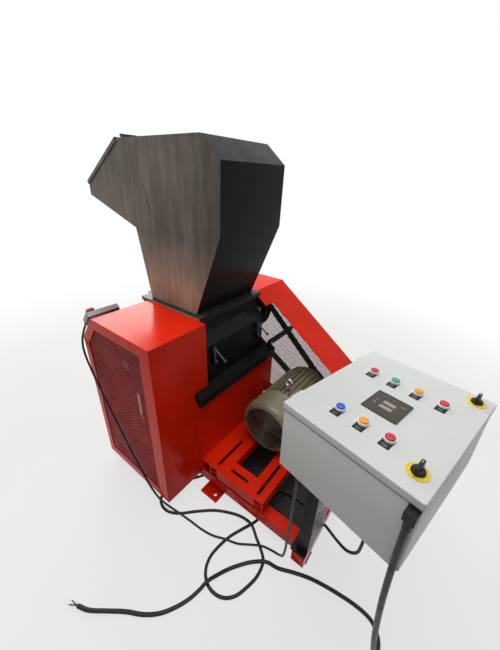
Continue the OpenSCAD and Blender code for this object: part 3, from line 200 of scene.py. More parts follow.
def sideways(tree):
    """1 on faces that look along X, a little on the others."""
    return spread(tree, maths(tree, "ABSOLUTE", face_normal(tree)["X"]), 0.05, 1, 0.3, 0.9)


def bumps(tree, shader, heights):
    """Stacks bumps on the shader, each with its height socket and depth in metres."""
    normal = {}
    for height, depth in heights:
        bump = add_node(tree, "Bump", {"Strength": 1.0, "Distance": depth, "Height": height, **normal})
        normal = {"Normal": bump["Normal"]}
    fill(tree, shader, normal)


def shaded(colour, share):
    return tuple(min(1.0, c * share) for c in colour)


DUST = (0.36, 0.33, 0.29)
DUST_SCALE = 22
DUST_DETAIL = 8


def settled(tree, least, most):
    """Share of dust on the faces that look up."""
    patches = noise(tree, DUST_SCALE, DUST_DETAIL)
    return times(tree, upward(tree), spread(tree, patches, least, most, 0.35, 0.75))


def finish(name, colour, roughness, metallic=0.0, coat=0.0, tone=0.12, tone_scale=6.0, uneven=0.10,
           grain=400.0, depth=0.00002, stretch=(1, 1, 1), wave=0.0, dust=0.0, specular=0.5):
    """One procedural finish: uneven tone and gloss, a fine grain, a slow wave and settled dust."""
    material, tree, shader = start_material(name)
    large = noise(tree, tone_scale, 6)
    body = mixed(tree, spread(tree, large, 0, 1), shaded(colour, 1 - tone), shaded(colour, 1 + tone))
    fine = noise(tree, grain, 3, stretch)
    body = mixed(tree, spread(tree, fine, 0, 0.25), body, shaded(colour, 1 - 2 * tone))
    if dust > 0:
        body = mixed(tree, settled(tree, 0, dust), body, DUST)
    gloss = spread(tree, noise(tree, 3 * tone_scale, 8), roughness - uneven, roughness + uneven)
    fill(tree, shader, {"Base Color": body, "Roughness": gloss, "Metallic": metallic, "Coat Weight": coat,
                        "Specular IOR Level": specular})
    heights = [(fine, depth)]
    if wave > 0:
        heights.append((noise(tree, 5, 2), wave))
    bumps(tree, shader, heights)
    return material


# Where the painted reflection on the hopper's sides fades in along Y, and deepens towards its neck
SHEEN_FROM = -0.42
SHEEN_TO = -0.05
SHEEN_HIGH = 1.30
SHEEN_LOW = 1.08
SATIN_BLACK = (0.004, 0.004, 0.006)
# Colours of the painted reflection on the hopper, and of its paler, browner part at the neck
SHEEN_COLOUR = (0.30, 0.27, 0.235)
SHEEN_NECK_COLOUR = (0.62, 0.50, 0.37)


def hopper_finish():
    """Black satin enamel, with a painted reflection of the room's bright side in soft streaked patches on the
    faces that look along X, growing browner towards the neck.
    """
    material, tree, shader = start_material("black_satin")
    streaks = noise(tree, scale=9, detail=5, stretch=(4, 4, 0.5))
    sheen_patches = spread(tree, noise(tree, scale=3, detail=3), 0.55, 1)
    # Painted reflection: pale streaks on the faces that look along X, where the room's bright side is mirrored
    sheen_streaks = times(tree, times(tree, spread(tree, streaks, 0.7, 1, 0.35, 0.65), sheen_patches), sideways(tree))
    place = own_place(tree)
    # Painted reflection: weaker towards the front, and paler and browner towards the neck
    fade = spread(tree, place["Y"], 0.25, 1, SHEEN_FROM, SHEEN_TO)
    sheen_tone = mixed(tree, spread(tree, place["Z"], 0, 1, SHEEN_HIGH, SHEEN_LOW), SHEEN_COLOUR, SHEEN_NECK_COLOUR)
    body = mixed(tree, times(tree, sheen_streaks, fade), SATIN_BLACK, sheen_tone)
    fill(tree, shader, {"Base Color": mixed(tree, settled(tree, 0.02, 0.14), body, DUST),
                        "Roughness": spread(tree, sheen_streaks, 0.24, 0.42, 0, 1),
                        "Specular IOR Level": 0.06})
    bumps(tree, shader, [(noise(tree, 260, 3, (1, 1, 0.3)), 0.00001), (noise(tree, 3, 2), 0.0035)])
    return material


def plain(name, colour, roughness, tone=0.06, depth=0.000004):
    """Smooth moulded plastic or print of one colour."""
    return finish(name, colour, roughness, tone=tone, grain=900, depth=depth)


def glow(name, colour, strength):
    """A light window behind smooth plastic."""
    material, tree, shader = start_material(name)
    tone = mixed(tree, spread(tree, noise(tree, 300, 2), 0, 1), shaded(colour, 0.85), colour)
    fill(tree, shader, {"Base Color": tone, "Roughness": 0.25, "Emission Color": (*colour, 1),
                        "Emission Strength": strength})
    return material


RED = (0.76, 0.020, 0.003)
BLACK = (0.007, 0.007, 0.009)
OLIVE = (0.205, 0.175, 0.102)
M = {
    "red_paint": finish("red_enamel", RED, 0.20, tone=0.10, wave=0.002, grain=700, depth=0.000008,
                        dust=0.01, uneven=0.05, specular=0.08),
    "red_mesh": finish("red_mesh_enamel", (0.40, 0.022, 0.022), 0.42, tone=0.2, grain=500, depth=0.00003,
                       specular=0.15),
    "hopper_paint": hopper_finish(),
    "black_paint": finish("black_enamel", BLACK, 0.34, tone=0.3, wave=0.002, dust=0.04, specular=0.1),
    "olive_paint": finish("olive_enamel", OLIVE, 0.34, coat=0.2, tone=0.14, wave=0.001, grain=260,
                          depth=0.00005, dust=0.3),
    "cabinet_paint": finish("pale_powder_coat", (0.53, 0.55, 0.54), 0.42, tone=0.03, tone_scale=3, grain=900,
                            depth=0.00002, uneven=0.05, dust=0.04),
    "bare_steel": finish("machined_steel", (0.50, 0.50, 0.51), 0.32, metallic=1, tone=0.12, grain=300,
                         stretch=(1, 6, 6), depth=0.00002),
    "zinc_steel": finish("zinc_plated_steel", (0.58, 0.59, 0.60), 0.30, metallic=1, tone=0.10, grain=500),
    "cast_iron": finish("cast_iron_skin", (0.065, 0.066, 0.070), 0.55, metallic=0.6, tone=0.25, grain=220,
                        depth=0.00015, dust=0.1),
    "belt_rubber": finish("belt_rubber", (0.016, 0.016, 0.016), 0.7, tone=0.3, grain=600),
    "cable_rubber": finish("cable_sheath", (0.006, 0.006, 0.006), 0.42, tone=0.3, tone_scale=14, grain=500,
                           dust=0.03, specular=0.3),
    "seal_rubber": finish("foamed_seal", (0.02, 0.02, 0.02), 0.85, tone=0.2, grain=900, depth=0.0001),
    "black_plastic": finish("black_moulding", (0.010, 0.010, 0.011), 0.38, tone=0.2, grain=900,
                            depth=0.00001, specular=0.2),
    "station_plastic": plain("grey_moulding", (0.30, 0.255, 0.262), 0.36, 0.08, 0.00002),
    "white_plastic": plain("white_moulding", (0.80, 0.80, 0.77), 0.22, 0.03, 0.000005),
    "display_plastic": plain("display_face", (0.035, 0.024, 0.018), 0.18, 0.1),
    "yellow_plate": plain("yellow_plate", (0.78, 0.55, 0.03), 0.30, depth=0.000005),
    "blue_cap": plain("blue_cap", (0.015, 0.085, 0.62), 0.22),
    "orange_cap": plain("orange_cap", (0.84, 0.30, 0.006), 0.22),
    "red_cap": plain("red_cap", (0.50, 0.012, 0.030), 0.22),
    "green_cap": plain("green_cap", (0.035, 0.36, 0.20), 0.22),
    "window": glow("display_window", (0.30, 0.25, 0.22), 0.05),
    "mark": plain("white_mark", (0.62, 0.62, 0.60), 0.4, 0.05),
    "dark_mark": plain("dark_mark", (0.10, 0.05, 0.02), 0.4, 0.05),
    "meter_mark": plain("meter_mark", (0.16, 0.14, 0.13), 0.4, 0.05),
    "brown_core": finish("brown_core", (0.14, 0.04, 0.015), 0.4, tone=0.1, grain=900),
    "blue_core": finish("blue_core", (0.02, 0.09, 0.40), 0.4, tone=0.1, grain=900),
    "green_core": finish("green_core", (0.10, 0.30, 0.03), 0.4, tone=0.1, grain=900),
    "copper": finish("copper_strands", (0.72, 0.30, 0.14), 0.35, metallic=1, tone=0.1, grain=900),
    "dark_steel": finish("dark_steel", (0.06, 0.06, 0.065), 0.45, metallic=0.6, tone=0.15, grain=500),
    "grey_print": finish("grey_print", (0.22, 0.22, 0.22), 0.6, tone=0.05, grain=900),
    "dark_olive": finish("grille_enamel", (0.075, 0.062, 0.042), 0.45, tone=0.15, dust=0.1),
}
# Finish of each node, where it differs from the node's slot
OTHER_FINISH = {
    "hopper_shell": "hopper_paint", "feed_lid": "hopper_paint", "flywheel_mesh": "red_mesh",
    "belt_mesh": "red_mesh", "swing_bolt_left": "dark_steel", "swing_bolt_right": "dark_steel",
}


# Mesh code
BEVEL_STEPS = 2
BEVEL_FROM = math.radians(30)


def round_shares(sides):
    """Cosine and sine of each corner of a round outline."""
    angles = [2 * math.pi * k / sides for k in range(sides)]
    return [(math.cos(a), math.sin(a)) for a in angles]


class Shape:
    """Collects the solids of one piece."""

    def __init__(self):
        self.mesh = bmesh.new()

    def box(self, low, high, bevel, place):
        """Block between two corners, with rounded edges."""
        low, high = Vector(low), Vector(high)
        made = bmesh.ops.create_cube(self.mesh, size=1)["verts"]
        for vertex in made:
            for i in range(3):
                vertex.co[i] = high[i] if vertex.co[i] > 0 else low[i]
        if bevel > 0:
            edges = list({edge for vertex in made for edge in vertex.link_edges})
            done = bmesh.ops.bevel(self.mesh, geom=edges, offset=bevel, segments=BEVEL_STEPS, profile=0.5,
                                   affect="EDGES", clamp_overlap=True)
            made = list({vertex for face in done["faces"] for vertex in face.verts} | {
                v for v in made if v.is_valid})
        bmesh.ops.transform(self.mesh, matrix=place, verts=made)

    def rings(self, rings, looped=False):
        """Skin over rows of points that all have the same length."""
        rows = [[self.mesh.verts.new(point) for point in ring] for ring in rings]
        count = len(rows[0])
        pairs = list(zip(rows, rows[1:])) + ([(rows[-1], rows[0])] if looped else [])
        for first, second in pairs:
            for k in range(count):
                j = (k + 1) % count
                self.mesh.faces.new((first[k], first[j], second[j], second[k]))
        if not looped:
            self.mesh.faces.new(list(reversed(rows[0])))
            self.mesh.faces.new(rows[-1])

    def lathe(self, profile, place, sides=48, looped=False):
        """Turned body about the local Z axis, from (radius, height) points."""
        rings = []
        for radius, height in profile:
            rings.append([place @ Vector((radius * c, radius * s, height)) for c, s in round_shares(sides)])
        self.rings(rings, looped=looped)

    def tube(self, points, radius, sides, closed=False):
        """Round tube along points."""
        points = [Vector(p) for p in points]
        count = len(points)
        rings = []
        side = None
        for i, point in enumerate(points):
            ahead = points[(i + 1) % count] if closed or i + 1 < count else point
            behind = points[i - 1] if closed or i > 0 else point
            run = (ahead - behind).normalized()
            if side is None:
                side = run.orthogonal()
            side = (side - side.dot(run) * run).normalized()
            other = run.cross(side)
            rings.append([point + radius * (c * side + s * other) for c, s in round_shares(sides)])
        self.rings(rings, looped=closed)

    def prism(self, outline, low, high, place=HERE):
        """Straight extrusion of an outline in local X and Y."""
        self.rings([[place @ Vector((x, y, low)) for x, y in outline],
                    [place @ Vector((x, y, high)) for x, y in outline]])

    def make(self, name, material, body, sharp=35.0, bevel=0.0):
        """Turns what was collected into a piece that rides on a body."""
        bmesh.ops.recalc_face_normals(self.mesh, faces=self.mesh.faces)
        for face in self.mesh.faces:
            face.smooth = True
        for edge in self.mesh.edges:
            if len(edge.link_faces) == 2 and edge.calc_face_angle() > math.radians(sharp):
                edge.smooth = False
        data = bpy.data.meshes.new(name)
        self.mesh.to_mesh(data)
        self.mesh.free()
        data.materials.append(M[material])
        piece = add_object(name, data)
        if bevel > 0:
            add_bevel(piece, bevel)
        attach(piece, body)
        return piece


def add_bevel(piece, width):
    """Rounds the sharp edges of a piece when it is drawn."""
    bevel = piece.modifiers.new("edges", "BEVEL")
    bevel.width = width
    bevel.segments = BEVEL_STEPS
    bevel.limit_method = "ANGLE"
    bevel.angle_limit = BEVEL_FROM
    bevel.harden_normals = True


def facing(point, direction):
    """Matrix that puts local Z along a direction at a point."""
    return Matrix.Translation(point) @ Vector(direction).to_track_quat("Z", "Y").to_matrix().to_4x4()


def arc_profile(radius, height, start, stop, bend, steps=5):
    """Quarter round in a (radius, height) profile, about a centre."""
    return [(radius + bend * math.cos(math.radians(start + (stop - start) * i / steps)),
             height + bend * math.sin(math.radians(start + (stop - start) * i / steps)))
            for i in range(steps + 1)]


def rounded(half_x, half_y, bend, steps=4):
    """Outline of a rectangle with round corners."""
    points = []
    for k, (sx, sy) in enumerate(((1, 1), (-1, 1), (-1, -1), (1, -1))):
        for i in range(steps + 1):
            a = math.radians(90 * (k + i / steps))
            points.append((sx * (half_x - bend) + bend * math.cos(a),
                           sy * (half_y - bend) + bend * math.sin(a)))
    return points


def level(place, half, inset, z, bend, steps=4):
    """Rounded outline at a height, smaller by an inset on every side."""
    return [place @ Vector((x, y, z)) for x, y in rounded(half[0] - inset, half[1] - inset, bend, steps)]


# Sizes of bolt and screw heads, as shares of their width
HEAD_SHARE = 0.62
TOP_R_SHARE = 0.88
TOP_H_SHARE = 0.08
WASHER_R_SHARE = 0.72
WASHER_T_SHARE = 0.1
PAN_H_SHARE = 0.3
PAN_PROFILE_SHARES = ((0.5, 0), (0.5, 0.4), (0.42, 0.8), (0.22, 1))


def hex_head(shape, point, direction, width):
    """Hexagon head of a bolt on its washer."""
    place = facing(point, direction)
    lift = width * WASHER_T_SHARE
    shape.lathe([(width * WASHER_R_SHARE, 0), (width * WASHER_R_SHARE, lift)], place, 24)
    high = lift + width * HEAD_SHARE
    edge = high - width * TOP_H_SHARE
    corner = width / 2 / math.cos(math.radians(30))
    shape.lathe([(corner, lift), (corner, edge), (corner * TOP_R_SHARE, high)], place, 6)


def pan_head(shape, point, direction, width):
    """Low round screw head."""
    high = width * PAN_H_SHARE
    shape.lathe([(width * r, high * h) for r, h in PAN_PROFILE_SHARES], facing(point, direction), 20)


# Cables at their real length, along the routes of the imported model
STOP_ROUTE = (
    (-530, 303.5, 898), (-530, 317, 883), (-537, 332, 850), (-552, 334, 800), (-562, 312, 730),
    (-562, 244, 580), (-562, 153, 427), (-562, 60, 281), (-562, -30, 160), (-560, -95, 80),
    (-554, -145, 35), (-545, -200, 20), (-536, -265, 20), (-522, -340, 8), (-514, -410, 5),
    (-503, -475, 12), (-481, -535, 20), (-455, -590, 9), (-422, -645, 16), (-396, -690, 20),
    (-386, -740, 28), (-398, -785, 70), (-425, -812, 160), (-437, -822, 320), (-437.9, -822.4, 635),
    (-436.4, -820.6, 695.4),
)
SUPPLY_ROUTE = (
    (-566.1, -1125.9, 905.9), (-567.1, -1127.1, 866), (-567, -1134, 740), (-560, -1146, 590),
    (-548, -1162, 440), (-528, -1180, 300), (-500, -1198, 180), (-464, -1212, 85), (-420, -1222, 28),
    (-372, -1214, 8), (-338, -1180, 8), (-330, -1120, 8), (-340, -1030, 8), (-360, -935, 8),
    (-388, -860, 8), (-418, -795, 8), (-438, -742, 24), (-470, -693, 12), (-512, -655, 8),
    (-562, -622, 10), (-612, -600, 18), (-650, -587, 25), (-690, -578, 14), (-735, -565, 8),
    (-785, -542, 8), (-835, -508, 8), (-877, -460, 8), (-914, -399, 8), (-959, -338, 8),
    (-1000, -282, 8), (-1020, -235, 8),
)
MOTOR_ROUTE = (
    (119.9, -652, 400), (85, -652, 400), (52, -655, 375), (35, -660, 310), (30, -662, 230),
    (24, -662, 140), (8, -658, 60), (-28, -648, 16), (-90, -630, 7), (-170, -612, 7),
    (-245, -606, 7), (-318, -598, 7), (-385, -570, 7), (-450, -543, 7), (-517, -529, 7),
    (-575, -528, 7), (-622, -548, 7), (-651, -586, 7), (-657, -632, 7), (-642, -676, 7),
    (-608, -708, 7), (-560, -726, 7), (-500, -738, 7), (-440, -728, 7), (-406, -692, 7),
    (-378, -645, 7), (-352, -595, 21), (-350, -535, 16), (-368, -470, 7), (-408, -400, 7),
    (-470, -330, 7), (-532, -268, 7), (-562, -208, 7), (-552, -148, 7), (-505, -116, 7),
    (-445, -124, 7), (-385, -158, 7), (-325, -198, 7), (-272, -228, 7), (-244, -275, 7),
    (-234, -345, 7), (-222, -430, 7), (-190, -505, 7), (-145, -565, 10), (-108, -618, 21),
    (-88, -680, 12), (-86, -760, 7), (-100, -830, 7), (-122, -895, 7), (-146, -955, 8),
    (-166, -1010, 20), (-178, -1048, 70), (-184, -1058, 150), (-185, -1057, 350),
    (-184.2, -1056, 656), (-183.2, -1054.8, 696.1),
)
STOP_D = 10 * MM
SUPPLY_D = 16 * MM
MOTOR_D = 14 * MM
CURVE_STEPS = 6


def smooth_route(route):
    """Smooth line through the points of a route, in metres."""
    points = [Vector(p) * MM for p in route]
    points = [2 * points[0] - points[1]] + points + [2 * points[-1] - points[-2]]
    line = []
    for a, b, c, d in zip(points, points[1:], points[2:], points[3:]):
        for i in range(CURVE_STEPS):
            t = i / CURVE_STEPS
            line.append(0.5 * (2 * b + (c - a) * t + (2 * a - 5 * b + 4 * c - d) * t * t
                               + (3 * b - 3 * c + d - a) * t ** 3))
    return line + [points[-2]]


def cable(name, node, route, diameter, with_pieces=()):
    """Cable along a route, at its real length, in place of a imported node."""
    line = smooth_route(route)
    data = bpy.data.curves.new(name, "CURVE")
    data.dimensions = "3D"
    data.bevel_depth = diameter / 2
    data.bevel_resolution = 4
    data.use_fill_caps = True
    spline = data.splines.new("POLY")
    spline.points.add(len(line) - 1)
    for point, place in zip(spline.points, line):
        point.co = (*place, 1)
    spline.use_smooth = True
    data.materials.append(M["cable_rubber"])
    piece = add_object(name, data)
    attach(piece, "root")
    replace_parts(piece, node)


CORES = ("brown_core", "blue_core", "green_core", "cable_rubber")
CORE_D = 4 * MM
CORE_L = 34 * MM
STRAND_D = 2.4 * MM
# Points along a core, as shares of its length, with how far it has fanned out there
CORE_POINTS = ((0.4, 0), (0.8, 1), (1, 2))


def bare_cores():
    """Four stripped cores at the free end of the supply cable."""
    line = smooth_route(SUPPLY_ROUTE)
    end = line[-1]
    run = (line[-1] - line[-3]).normalized()
    side = run.cross(Vector((0, 0, 1))).normalized()
    up = side.cross(run)
    cores = []
    for k, material in enumerate(CORES):
        a = math.radians(45 + 90 * k)
        start = end + (math.cos(a) * side + math.sin(a) * up) * CORE_D * 0.75
        fan = (math.cos(a) * side * 0.9 + math.sin(a) * up * 0.15) * CORE_D
        points = [start - run * CORE_D]
        points += [start + fan * spaces + run * CORE_L * share for share, spaces in CORE_POINTS]
        strands = [points[-1] - run * STRAND_D, points[-1] + run * CORE_L * 0.3]
        for name, way, radius, sides, look in (("core", points, CORE_D / 2, 12, material),
                                               ("strands", strands, STRAND_D / 2, 8, "copper")):
            shape = Shape()
            shape.tube(way, radius, sides)
            cores.append(shape.make("supply_%s_%d" % (name, k + 1), look, "root"))
    return cores


cable("stop_lead", "stop_cable", STOP_ROUTE, STOP_D)
cable("motor_lead", "motor_cable", MOTOR_ROUTE, MOTOR_D)
cable("supply_lead", "supply_cable", SUPPLY_ROUTE, SUPPLY_D, bare_cores())


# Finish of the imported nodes
EDGE = 1.2 * MM
EDGES = {
    "base_frame": 3 * MM, "motor_base": 2 * MM, "bed_plate": 2 * MM, "cabinet_door": 2.6 * MM,
    "hopper_shell": 1.6 * MM, "flywheel_guard": 1.5 * MM, "belt_guard": 1.5 * MM, "pedestal": 3 * MM,
    "motor_frame": 0.9 * MM, "terminal_box": 3 * MM, "guard_stay": 2 * MM, "granulate_bin": 1.5 * MM,
    "door_gasket": 0.5 * MM, "legend_plates": 0.3 * MM, "cam_discs": 0.4 * MM, "cable_glands": 0.8 * MM,
    "screen": 0.3 * MM, "hopper_hinge": 1.0 * MM,
}
WELD = 0.02 * MM
FLAT = math.radians(0.6)
# Nodes whose small faces stay apart, because a merged face would fill a corner of them
KEEP_FACES = ("belt_guard",)


def dress_nodes():
    """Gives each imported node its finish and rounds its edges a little."""
    slots = {row["node"]: row["material_slot"] for row in frame["record"]["subparts"]}
    for name, node in NODES.items():
        slot = slots[name]
        node.data.materials.clear()
        node.data.materials.append(M[OTHER_FINISH.get(name, slot)])
        if node.hide_render:
            continue
        custom = node.data.attributes.get("custom_normal")
        if custom is not None:
            node.data.attributes.remove(custom)
        for polygon in node.data.polygons:
            polygon.use_smooth = True
        weld = node.modifiers.new("weld", "WELD")
        weld.merge_threshold = WELD
        if name not in KEEP_FACES:
            flat = node.modifiers.new("flat", "DECIMATE")
            flat.decimate_type = "DISSOLVE"
            flat.angle_limit = FLAT
        add_bevel(node, EDGES.get(name, EDGE))


# Expanded metal in the windows of both guards
CELL_LONG = 17 * MM
CELL_SHORT = 10.5 * MM
STRAND_W = 2.7 * MM
STRAND_T = 1.5 * MM


def hull_outline(node):
    """Convex outline of a node in Y and Z."""
    points = sorted({(round(v.co.y, 5), round(v.co.z, 5)) for v in NODES[node].data.vertices})

    def half(row):
        chain = []
        for p in row:
            while len(chain) > 1 and ((chain[-1][0] - chain[-2][0]) * (p[1] - chain[-2][1])
                                      - (chain[-1][1] - chain[-2][1]) * (p[0] - chain[-2][0])) <= 0:
                chain.pop()
            chain.append(p)
        return chain[:-1]
    return half(points) + half(points[::-1])


def span_at(outline, z):
    """Lowest and highest Y of an outline at a height."""
    cuts = []
    for (y0, z0), (y1, z1) in zip(outline, outline[1:] + outline[:1]):
        if z0 != z1 and min(z0, z1) <= z <= max(z0, z1):
            cuts.append(y0 + (y1 - y0) * (z - z0) / (z1 - z0))
    return (min(cuts), max(cuts)) if len(cuts) > 1 else None


def expanded_metal(node, name):
    """Zigzag strands that meet at their bends, inside the outline of a node."""
    low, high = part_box(node)
    middle = (low.x + high.x) / 2
    outline = hull_outline(node)
    shape = Shape()
    step = CELL_SHORT / 2
    rows = int((high.z - low.z) / step)
    for j in range(1, rows):
        z = low.z + j * step
        span = span_at(outline, z)
        if span is None:
            continue
        first = math.ceil(span[0] / (CELL_LONG / 2))
        last = math.floor(span[1] / (CELL_LONG / 2))
        if last - first < 2:
            continue
        rings = []
        for i in range(first, last + 1):
            bend = step / 2 - STRAND_W / 4
            y = i * CELL_LONG / 2
            z_here = z + (bend if (i + j) % 2 == 0 else -bend)
            rings.append([(middle + a * STRAND_T / 2, y, z_here + b * STRAND_W / 2)
                          for a, b in ((-1, -1), (1, -1), (1, 1), (-1, 1))])
        shape.rings(rings)
    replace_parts(shape.make(name, "red_mesh", "root", sharp=60), node)


# Hopper details, with the seams' places in millimetres
SEAM_R = 1.3 * MM
SEAM = ((184, 1524), (172, 1466), (146, 1405), (100, 1356), (28, 1325), (-60, 1309))
FOLD = ((277, 1315), (252, 1304), (228, 1294))
SEAM_X = 211


def hopper_seams():
    """Ground weld seams on both sides of the hopper."""
    shape = Shape()
    for x in (-SEAM_X, SEAM_X):
        for route in (SEAM, FOLD):
            shape.tube(smooth_route([(x, y, z) for y, z in route]), SEAM_R, 6)
    shape.make("hopper_seams", "hopper_paint", "hopper", sharp=80)


# Motor details
COWL_R = 150 * MM
COWL_BEND = 22 * MM
COWL_T = 3 * MM
COWL_LIP = 6 * MM
COWL_STEPS = 8
# Bead pressed round the cowl: its place along it, and its corners from skin and place
BEAD_SHARE = 0.42
BEAD = ((-1 * MM, -5 * MM), (1.2 * MM, -2 * MM), (1.2 * MM, 2 * MM), (-1 * MM, 5 * MM))
FINE_SIDES = 72
GRILLE_WIRE = 2.2 * MM
GRILLE_PITCH = 9.5 * MM
GRILLE_AT = 3 * MM
GRILLE_HUB = 22 * MM
GRILLE_DISC = ((0.5 * MM, 0.4 * MM), (GRILLE_HUB - 4 * MM, 0.4 * MM), (GRILLE_HUB, 2 * MM),
               (GRILLE_HUB, 5 * MM), (0.5 * MM, 5 * MM))
GRILLE_SPOKES = 8
SPOKE_IN = 4.6 * MM
SPOKE_OUT = 3.4 * MM
COWL_SCREW = 11 * MM
COWL_SCREW_IN = 10 * MM


def fan_cowl():
    """Pressed cowl with a rounded end and a grille of rings."""
    low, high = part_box("fan_cowl")
    start = MOTOR.copy()
    start.x = low.x
    place = facing(start, (1, 0, 0))
    long = high.x - low.x
    flat = COWL_R - COWL_BEND
    hole = flat - COWL_LIP
    inner = arc_profile(flat, COWL_BEND, -90, 0, COWL_BEND - COWL_T, COWL_STEPS)[::-1]
    profile = [(hole, 0)] + arc_profile(flat, COWL_BEND, -90, 0, COWL_BEND, COWL_STEPS) + [(COWL_R, long)]
    profile += [(COWL_R - COWL_T, long)] + inner + [(hole, COWL_T)]
    shape = Shape()
    shape.lathe(profile, place, FINE_SIDES, looped=True)
    shape.lathe([(COWL_R + r, long * BEAD_SHARE + z) for r, z in BEAD], place, FINE_SIDES, looped=True)
    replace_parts(shape.make("fan_cowl_shell", "olive_paint", "root"), "fan_cowl")
    shape = Shape()
    shape.lathe(GRILLE_DISC, place, 40)
    radius = GRILLE_HUB
    while radius + GRILLE_PITCH < hole:
        radius += GRILLE_PITCH
        ring = [place @ Vector((radius * c, radius * s, GRILLE_AT)) for c, s in round_shares(FINE_SIDES)]
        shape.tube(ring, GRILLE_WIRE, 6, closed=True)
    for c, s in round_shares(GRILLE_SPOKES):
        out = Vector((c, s, 0))
        shape.tube([place @ (out * GRILLE_HUB * 0.8 + Vector((0, 0, SPOKE_IN))),
                    place @ (out * (hole + 2 * MM) + Vector((0, 0, SPOKE_OUT)))], GRILLE_WIRE, 6)
    shape.make("fan_grille", "dark_olive", "root")
    shape = Shape()
    along = Vector((long - COWL_SCREW_IN, 0, 0))
    for k in range(4):
        a = math.radians(45 + 90 * k)
        out = Vector((0, math.cos(a), math.sin(a)))
        hex_head(shape, start + out * (COWL_R - 0.5 * MM) + along, out, COWL_SCREW)
    shape.make("cowl_screws", "zinc_steel", "root")


BOX_SCREW = 9 * MM
BOX_INSET = 14 * MM


def terminal_box_screws():
    """Screws in the corners of the terminal box's lid."""
    low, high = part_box("terminal_box")
    shape = Shape()
    for x in (low.x + BOX_INSET, high.x - BOX_INSET):
        for z in (low.z + BOX_INSET, high.z - BOX_INSET):
            pan_head(shape, Vector((x, low.y, z)), (0, -1, 0), BOX_SCREW)
    shape.make("terminal_box_screws", "zinc_steel", "root")


# Control cabinet
BODY_IN = 3 * MM
BODY_TOP = 23 * MM
CAB_D = 250 * MM
CORNER = 6 * MM
CHAMFER = 8 * MM
RIM = 18 * MM
UPSTAND_IN = 12 * MM
SHEET = 2 * MM
UPSTAND_TOP = 6 * MM
CAB_NARROWER = 50 * MM
# Height, inset and reach of the dark strip under the door that stands in for the shadow gap there (painted shadow)
SHADOW_STRIP_H = 2.6 * MM
SHADOW_STRIP_IN = 1 * MM
SHADOW_STRIP_OUT = 1.8 * MM
KNUCKLE_R = 5 * MM
KNUCKLE_L = 24 * MM
KNUCKLE_GAP = 0.3 * MM
PIN_R = 2.5 * MM
PIN_OVER = 1.5 * MM
HINGE_AT = 180 * MM
LEAF_T = 4 * MM
LEAF_DEEP = 40 * MM
LEAF_EDGE = 0.8 * MM


def cabinet_half(inset=0.0):
    """Half length and half width of the door, less an inset."""
    half_l = -local_box("cabinet_door", CAB)[0].x - inset
    return half_l, half_l - CAB_NARROWER


def knuckle(shape, x):
    """Knuckle of a door hinge from x on. Gives its frame along the hinge."""
    along = CAB @ facing(Vector((x, CAB_HINGE_Y, CAB_HINGE_Z)), (1, 0, 0))
    shape.lathe([(KNUCKLE_R * 0.9, 0), (KNUCKLE_R, 0.6 * MM), (KNUCKLE_R, KNUCKLE_L - 0.8 * MM),
                 (KNUCKLE_R * 0.9, KNUCKLE_L - 0.2 * MM)], along, 32)
    return along


def cabinet_shell():
    """Folded box with an upstand for the seal, a dark strip under the door as a painted shadow of the gap there,
    and hinges.
    """
    half = cabinet_half(BODY_IN)
    shape = Shape()
    shape.rings([level(CAB, half, inset, z, CORNER) for inset, z in (
        (CORNER, -CAB_D), (CORNER * 0.3, -CAB_D + CORNER * 0.3), (0, -CAB_D + CORNER),
        (0, -BODY_TOP - CHAMFER), (CHAMFER * 0.12, -BODY_TOP - CHAMFER * 0.7),
        (CHAMFER * 0.85, -BODY_TOP - CHAMFER * 0.06), (CHAMFER, -BODY_TOP), (UPSTAND_IN, -BODY_TOP),
        (UPSTAND_IN, -UPSTAND_TOP), (UPSTAND_IN + SHEET, -UPSTAND_TOP),
        (UPSTAND_IN + SHEET, -BODY_TOP - SHEET), (RIM, -BODY_TOP - SHEET),
        (SHEET, -BODY_TOP - CHAMFER - SHEET), (SHEET, -CAB_D + SHEET))])
    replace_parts(shape.make("cabinet_shell", "cabinet_paint", "root"), "cabinet_body")
    # Painted shadow: a dark ring just under the door's edge stands in for the shade in the gap between door and
    # body
    door_foot = local_box("cabinet_door", CAB)[0].z
    top = door_foot + SHADOW_STRIP_IN
    foot = door_foot - SHADOW_STRIP_H
    line = Shape()
    line.rings([level(CAB, half, inset, z, CORNER) for inset, z in (
        (SHADOW_STRIP_IN, top), (-SHADOW_STRIP_OUT, top), (-SHADOW_STRIP_OUT, foot), (SHADOW_STRIP_IN, foot))], looped=True)
    line.make("door_shadow_strip", "seal_rubber", "root")
    shape = Shape()
    for s in (-1, 1):
        x = s * HINGE_AT - KNUCKLE_L
        along = knuckle(shape, x)
        shape.lathe([(PIN_R, -PIN_OVER), (PIN_R, 2 * KNUCKLE_L + PIN_OVER)], along, 20)
        left = x + KNUCKLE_GAP
        right = x + KNUCKLE_L - 0.5 * MM
        shape.box((left, CAB_HINGE_Y - LEAF_T / 2, -LEAF_DEEP),
                  (right, CAB_HINGE_Y + LEAF_T / 2, CAB_HINGE_Z), LEAF_EDGE, CAB)
        shape.box((left, half[1] - 1 * MM, -LEAF_DEEP),
                  (right, CAB_HINGE_Y, -BODY_TOP - BODY_IN - 0.4 * MM), LEAF_EDGE, CAB)
    shape.make("cabinet_hinges", "zinc_steel", "root")


DOOR_H = 20 * MM
DOOR_BEND = 3 * MM
DOOR_CORNER = 7 * MM
DOOR_STEPS = 5
FOLD_T = SHEET * 0.8


